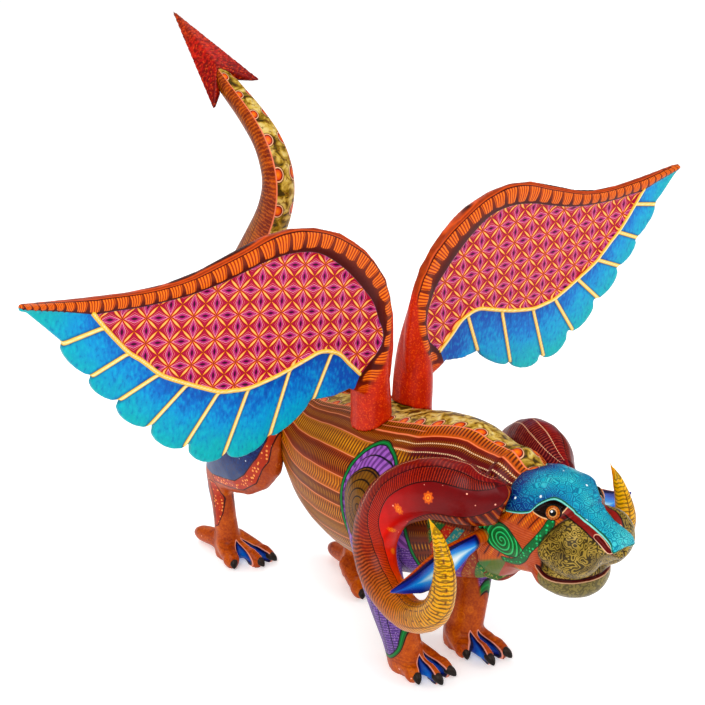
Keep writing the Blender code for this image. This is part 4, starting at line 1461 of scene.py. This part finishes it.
def make_head(neck):
    def rim(points):
        return 0.8 * step_up(points[:, 1], neck_plane - 2.5, neck_plane - 1)

    neck_plane = box("head")[1][1]
    head = carved("head", "figure", 1.6, 40, keep=rim)
    for which, _ in SIDES:
        cut_socket(head, f"ear_{which}", f"{which}_ear_pull")
    head.data.shade_smooth()
    points = meet_neck(points_of(head.data), neck)
    move_points(head.data, points)
    aside = np.abs(points[:, 0])
    y, z = points[:, 1], points[:, 2]
    ys, heights = np.array(HEAD_AXIS, float).T
    middle = np.interp(y, ys, heights)
    radius = np.hypot(aside, z - middle)
    slope = np.degrees(np.arctan2(aside, z - middle))
    edge = np.interp(y, *smooth_curve(MASK_EDGE, 6).T)
    mask = np.radians(edge - slope) * np.maximum(radius, 6)
    rear = np.interp(aside, *np.array(MASK_REAR, float).T)
    mask = np.minimum(mask, rear - y)

    folded = np.column_stack([aside, y, z])
    eye = np.array(EYE)
    from_socket = folded - np.array(SOCKET)
    # the socket is an almond drawn on the cheek: long way down the face, short way up
    long_way = np.array((-0.612, -0.740, 0.286))
    long_way /= np.linalg.norm(long_way)
    short_way = np.array((-0.453, 0.406, 0.79))
    short_way -= long_way * (short_way @ long_way)
    short_way /= np.linalg.norm(short_way)
    u, v = from_socket @ long_way, from_socket @ short_way
    almond = (1 - (u / 11.6) ** 2) * 6.6 - np.where(v < 0, -v, v * 0.35)
    near_eye = np.linalg.norm(folded - eye, axis=1)
    almond = np.where(near_eye < 20, almond, -9.0)
    above_mouth = z - np.interp(y, *smooth_curve(MOUTH, 4).T)
    mouth = np.hypot(above_mouth, np.clip(y + 210, 0, None))
    nostril = nearest_on(folded, np.array(NOSTRIL))[0]
    side_view = np.column_stack([y, z])
    band = nearest_on(side_view, smooth_curve(GREEN_BAND, 4))[0]
    crease = -213 - 11 * np.clip((z - 150) / 27, 0, 2) ** 2
    lobe = crease - y
    philtrum = np.where((y < -236) & (z < 165) & (z > 137), aside, 9.0)

    normals = normals_of(head.data)
    push = 1.5 * step_up(mask, -0.4, 1.0)
    brow = np.exp(-((y + 214) / 10) ** 2 - ((aside - 19) / 6) ** 2 - ((z - 191) / 7) ** 2)
    push += 2.4 * brow
    push -= 2.2 * step_up(almond, 0, 3.0) * step_up(-mask, -0.5, 1.5)
    push -= 1.8 * (1 - step_up(mouth, 0.3, 1.6)) * step_up(-y, 208, 213)
    push -= 1.8 * (1 - step_up(nostril, 0.8, 2.2)) * step_up(-mask, -0.6, 0.6)
    cleft = np.exp(-((aside / 5) ** 2)) * step_up(-y, 234, 240) * step_up(165 - z, 0, 4)
    push += 2.4 * cleft * step_up(z, 138, 144)
    push -= 0.8 * (1 - step_up(philtrum, 0.3, 1.6))
    push -= 1.0 * (1 - step_up(np.abs(lobe), 0.5, 3.0)) * step_up(above_mouth, 0, 3)
    points += normals * push[:, None]
    move_points(head.data, points)

    leaf_y, leaf_z = y + 183, z - 151.5
    lean = radians(12)
    long_side = leaf_y * cos(lean) + leaf_z * sin(lean)
    short_side = -leaf_y * sin(lean) + leaf_z * cos(lean)
    fields = {
        "mask": mask, "almond": almond, "mouth": mouth, "nostril": nostril, "green": band,
        "lobe": lobe, "above_mouth": above_mouth, "philtrum": philtrum,
        "leaf_x": long_side, "leaf_y": short_side, "iris": near_eye, "aside": aside,
        "girth": girth_of(points, middle),
        "socket_u": u, "socket_v": v,
    }
    for name, values in fields.items():
        add_field(head, name, values)
    return head


def head_paint():
    paint = Painter("mask_paint", tint(170, 84, 36))
    y, z = paint.y, paint.z
    girth = paint.field("girth")
    aside = paint.field("aside")
    torso_coats(paint, girth, y)
    dots = y.wave(1.7).over(0.35, 0.2)
    for level in (0.168, 0.205):
        paint.lay(tint(246, 214, 176), girth.line(level, 0.0035, 0.002) * dots)
    paint.lay(tint(240, 150, 120), girth.line(0.137, 0.0035, 0.002))
    dorsal_paint(paint, girth, y + 2, 0.083, 17.0, 120.0)

    # cheeks: orange, in slanting ribs
    cheek = paint.mix(paint.noise(6.0, 3.0), tint(168, 66, 22), tint(214, 110, 40))
    rib = (y * 0.9 + z * 0.55)
    cheek = paint.mix(rib.repeat(8.0).line(0.5, 0.07, 0.06), cheek, tint(90, 30, 14))
    cheek = paint.mix(rib.repeat(8.0).line(0.0, 0.2, 0.1) * 0.6, cheek, tint(240, 146, 64))
    hatch = ((y * 0.55 - z * 0.9) / 2.0 + rib.repeat(8.0)).repeat(1.0)
    cheek = paint.mix((hatch - 0.5).size().under(0.16, 0.08) * 0.6, cheek, tint(110, 40, 18))
    paint.lay(cheek, girth.over(0.3, 0.01))
    jaw = paint.mix(paint.noise(9.0), tint(176, 84, 44), tint(212, 128, 84))
    jaw = paint.mix((y * 3.2 + z).sine().over(0.4, 0.4) * 0.3, jaw, tint(130, 56, 30))
    paint.lay(jaw, z.under(134, 2) * y.under(-160, 3))
    behind = ((y + 196) * 0.8 + (z - 134) * -0.55).under(0, 1.5) * z.under(168, 2)
    pink = paint.mix(paint.noise(4.0), tint(176, 90, 66), tint(206, 124, 96))
    pink = paint.mix((z * 3.6).sine().over(0.2, 0.4) * 0.4, pink, tint(140, 60, 44))
    paint.lay(pink, behind)

    # throat, in coloured patches
    throat = ((z - 128) + (y + 165) * 0.4).under(0, 2) * y.over(-186, 2)
    slant = y * 0.8 + z * 0.6
    colours = paint.ramp((slant / 6.5).floor().random(2.0), (
        (0.0, tint(24, 120, 70)), (0.25, tint(30, 140, 140)), (0.45, tint(150, 60, 34)),
        (0.65, tint(112, 62, 140)), (0.8, tint(60, 110, 50)), (0.9, tint(190, 60, 50)),
    ), smooth=False)
    paint.lay(colours, throat * 0.85)

    # the green leaf with its spiral, and the dotted green band up to the eye
    lx, ly = paint.field("leaf_x"), paint.field("leaf_y")
    shape = (lx / 21) * (lx / 21) + ly.size() / 12.5
    near = (lx * lx + ly * ly).root()
    wind = ly.math("ARCTAN2", lx) / (2 * pi)
    spiral = ((near / 3.4) - wind).repeat(1.0)
    leaf = paint.mix(paint.noise(5.0), tint(14, 84, 40), tint(30, 140, 70))
    leaf = paint.mix(spiral.line(0.5, 0.14, 0.08), leaf, tint(90, 200, 130))
    leaf = paint.mix(spiral.line(0.86, 0.05, 0.04), leaf, tint(8, 44, 24))
    leaf = paint.mix(shape.over(0.9, 0.02), leaf, tint(10, 60, 34))
    paint.lay(leaf, shape.under(1.0, 0.02) * girth.over(0.35, 0.01))
    green = paint.field("green")
    strap = paint.mix(paint.cells(2.8, jitter=0.4).under(0.3, 0.08), tint(20, 110, 60),
                      tint(80, 196, 130))
    strap = paint.mix(green.over(2.4, 0.2), strap, tint(8, 52, 32))
    paint.lay(strap, green.under(3.0, 0.25) * paint.field("lobe").under(0.5, 0.5))

    # muzzle: olive gold with a fine black maze, grey olive hatch on the chin
    lobe = paint.field("lobe")
    above = paint.field("above_mouth")
    maze = (paint.noise(3.6, 0.0) * 30).sine().over(0.15, 0.4)
    egg = paint.ramp(paint.noise(13.0), (
        (0.3, tint(116, 98, 56)), (0.5, tint(156, 134, 76)), (0.7, tint(182, 158, 98)),
    ))
    egg = paint.mix(maze * 0.85, egg, tint(34, 26, 8))
    chin = paint.mix(paint.noise(8.0), tint(104, 96, 62), tint(150, 136, 88))
    chin = paint.mix((paint.noise(3.0, 0.0, twist=0.5) * 16).sine().over(0.3, 0.4) * 0.6, chin,
                     tint(66, 60, 44))
    muzzle = paint.mix(above.over(0, 0.5), chin, egg)
    paint.lay(muzzle, lobe.over(0, 0.5))
    # painted shade: a dark line in the crease round the muzzle lobes
    paint.lay(tint(26, 20, 12), lobe.line(0.4, 1.1, 1.2) * above.over(1, 2) * 0.85)
    # a dark line down the groove under the nose: a painted line and painted shade in the groove
    paint.lay(tint(60, 44, 30), paint.field("philtrum").under(0.7, 0.5) * 0.8)

    # mouth: a dark red slit with a cream line under it
    mouth = paint.field("mouth")
    paint.lay(tint(222, 180, 150), mouth.under(1.9, 0.25) * above.under(-0.2, 0.4))
    paint.lay(tint(96, 14, 16), mouth.under(1.3, 0.3))
    # painted shade: near black along the slit's upper side, under the lip
    paint.lay(tint(30, 10, 10), mouth.under(0.5, 0.4) * above.over(-0.4, 0.4))

    # under the mask: the dark red strip with the nostril in it
    mask = paint.field("mask")
    strip = mask.within(-4.6, 0, 0.3) * y.within(-258, -222, 1.5)
    red = paint.mix(paint.noise(3.0), tint(110, 20, 16), tint(156, 40, 28))
    paint.lay(tint(20, 12, 10), mask.within(-5.6, 0, 0.3) * y.within(-258, -224, 2))
    paint.lay(red, strip)
    nostril = paint.field("nostril")
    paint.lay(tint(236, 196, 170), nostril.under(2.3, 0.2))
    paint.lay(tint(110, 12, 16), nostril.under(1.85, 0.2))

    # the eye's almond, with its cream lower lid
    almond = paint.field("almond")
    paint.lay(tint(232, 190, 150), almond.over(-1.3, 0.3) * paint.field("socket_v").under(0, 1))
    socket = paint.mix(paint.noise(3.0), tint(18, 8, 6), tint(54, 26, 14))
    paint.lay(socket, almond.over(-0.4, 0.3))

    # the mask: navy at its rear, turquoise on the brow, all over in fine curls
    scale = paint.cells(4.2, "DISTANCE_TO_EDGE", jitter=0.9)
    curl = scale.under(0.06, 0.04).most(scale.line(0.24, 0.04, 0.04))
    blend = ((paint.noise(16.0, 2.0) - 0.5) * 0.4 + mask / 34 + (y + 194) * -0.012).most(0).least(1)
    blue = paint.ramp(blend, (
        (0.0, tint(10, 26, 106)), (0.18, tint(14, 76, 146)), (0.4, tint(26, 134, 174)),
        (0.7, tint(52, 164, 186)), (1.0, tint(96, 194, 198)),
    ))
    blue = paint.mix(curl * 0.55, blue, tint(6, 56, 104))
    blue = paint.mix(scale.line(0.14, 0.03, 0.04) * 0.35, blue, tint(130, 214, 214))
    blue = paint.mix(paint.cells(11.0).under(0.085, 0.02), blue, tint(236, 246, 250))
    paint.lay(blue, mask.over(0, 0.3))
    paint.lift(-0.2, curl * mask.over(0.5, 0.5))
    paint.lay(tint(10, 100, 70), mask.line(1.0, 0.5, 0.3) * y.under(-176, 2))
    paint.lay(tint(150, 226, 212), mask.line(0.3, 0.3, 0.2) * y.under(-176, 2))
    return paint.done(roughness=0.36, coat=0.4)


def make_eye(which, side):
    """An eye: a low dome of glass-smooth paint."""
    x, y, z = EYE
    centre = np.array((side * (x - 1.2), y + 0.4, z - 0.6))
    gaze = np.array((side * 0.78, -0.5, 0.38))
    gaze /= np.linalg.norm(gaze)
    bm = bmesh.new()
    bmesh.ops.create_uvsphere(bm, u_segments=40, v_segments=24, radius=1.0)
    turn = Vector((0, 0, 1)).rotation_difference(Vector(gaze)).to_matrix()
    for v in bm.verts:
        flat = Vector((v.co.x * EYE_R, v.co.y * EYE_R, v.co.z * EYE_R * 0.62))
        v.co = (turn @ flat + Vector(centre)) * MM
    eye = finish_small(bm, f"eye_{which}", "figure")
    points = points_of(eye.data)
    away = points - centre
    add_field(eye, "off_axis", np.linalg.norm(away - np.outer(away @ gaze, gaze), axis=1))
    first = np.cross(gaze, (0, 0, 1))
    first /= np.linalg.norm(first)
    second = np.cross(first, gaze)
    add_field(eye, "gaze_x", away @ first)
    add_field(eye, "gaze_y", away @ second)
    eye.data.materials.append(eye_material)
    return eye


def eye_paint():
    paint = Painter("eye_paint", tint(60, 30, 14))
    off = paint.field("off_axis")
    gx, gy = paint.field("gaze_x"), paint.field("gaze_y")
    spoke = (gy.math("ARCTAN2", gx) * 14).sine()
    iris = paint.mix(off / 5.0, tint(110, 50, 20), tint(206, 124, 66))
    iris = paint.mix(spoke.over(0.2, 0.4) * 0.4, iris, tint(110, 48, 20))
    paint.colour = paint.mix(off.over(4.6, 0.2), iris, tint(30, 16, 10))
    paint.lay(tint(236, 180, 120), off.line(2.7, 0.25, 0.2))
    paint.lay(tint(10, 8, 8), off.under(2.3, 0.2))
    glint = ((gx - 0.7) * (gx - 0.7) + (gy - 0.8) * (gy - 0.8)).root()
    paint.lay(tint(255, 255, 255), glint.under(0.75, 0.15))
    return paint.done(roughness=0.12, coat=1.0, wear=0.1)


# ---------------------------------------------------------------- bare wood

def wood_paint():
    paint = Painter("bare_copal", tint(204, 160, 104))
    grain = paint.noise(1.1, 4.0, at=paint.vector(paint.x, paint.y * 0.15, paint.z))
    paint.colour = paint.mix(grain, tint(176, 130, 78), tint(222, 182, 128))
    paint.lay(tint(140, 96, 54), grain.over(0.62, 0.04) * 0.6)
    return paint.done(roughness=0.75, coat=0.0)


# ---------------------------------------------------------------- assembly

claw_material = claw_paint()
eye_material = eye_paint()


def dress(piece, material):
    piece.data.materials.clear()
    piece.data.materials.append(material)


wing_material = wing_paint()
horn_material = horn_paint()
leg_material = leg_paint()
ear_material = ear_paint()
for which, side in SIDES:
    dress(make_wing(which, side), wing_material)
    dress(make_horn(which, side), horn_material)
    dress(make_ear(which, side), ear_material)
    for kind in ("front", "hind"):
        dress(make_leg(kind, which, side), leg_material)
    make_eye(which, side)
torso, neck = make_torso()
dress(torso, torso_paint())
dress(make_tail(), tail_paint())
dress(make_arrowhead(), arrowhead_paint())
dress(make_head(neck), head_paint())
wood = wood_paint()
for name, node in frame["nodes"].items():
    if "dowel" in name:
        for slot in node.material_slots:
            slot.material = wood


# ---------------------------------------------------------------- studio

def make_floor():
    bm = bmesh.new()
    bmesh.ops.create_grid(bm, x_segments=8, y_segments=8, size=6.0)
    mesh = bpy.data.meshes.new("floor")
    bm.to_mesh(mesh)
    bm.free()
    floor = bpy.data.objects.new("floor", mesh)
    bpy.context.scene.collection.objects.link(floor)
    material = bpy.data.materials.new("pale_floor")
    material.use_nodes = True
    shader = material.node_tree.nodes["Principled BSDF"]
    shader.inputs["Base Color"].default_value = (0.9, 0.9, 0.9, 1)
    shader.inputs["Roughness"].default_value = 0.9
    shader.inputs["Emission Color"].default_value = (1, 1, 1, 1)
    shader.inputs["Emission Strength"].default_value = 0.32
    mesh.materials.append(material)


def soft_box(name, place, size, power):
    light = bpy.data.lights.new(name, "AREA")
    light.shape = "RECTANGLE"
    light.size, light.size_y = size
    light.energy = power
    lamp = bpy.data.objects.new(name, light)
    lamp.location = place
    lamp.rotation_euler = (Vector((0, 0, 0.2)) - Vector(place)).to_track_quat("-Z", "Y").to_euler()
    bpy.context.scene.collection.objects.link(lamp)


def make_camera():
    camera = bpy.data.cameras.new("camera")
    camera.sensor_width = 36.0
    camera.lens = 72.83
    holder = bpy.data.objects.new("camera", camera)
    place, target = Vector((-0.64585, -0.78728, 0.59926)), Vector((0, 0.0184, 0.2201))
    holder.location = place
    holder.rotation_euler = (target - place).to_track_quat("-Z", "Y").to_euler()
    bpy.context.scene.collection.objects.link(holder)
    bpy.context.scene.camera = holder


make_floor()
soft_box("key", (-1.2, -1.0, 2.0), (1.6, 1.6), 34)
soft_box("fill", (1.6, -1.4, 1.2), (1.6, 1.6), 14)
soft_box("back", (0.6, 1.8, 1.8), (1.6, 1.6), 14)
world = bpy.data.worlds.new("world")
world.use_nodes = True
world.node_tree.nodes["Background"].inputs["Color"].default_value = (1, 1, 1, 1)
light_path = world.node_tree.nodes.new("ShaderNodeLightPath")
glossy = Num(world.node_tree, light_path.outputs["Is Glossy Ray"])
seen = Num(world.node_tree, light_path.outputs["Is Camera Ray"])
strength = 0.8 + seen * 0.25 - glossy * 0.6  # the varnish mirrors a dim room
world.node_tree.links.new(strength.socket, world.node_tree.nodes["Background"].inputs["Strength"])
bpy.context.scene.world = world
bpy.context.scene.view_settings.view_transform = "Standard"
make_camera()
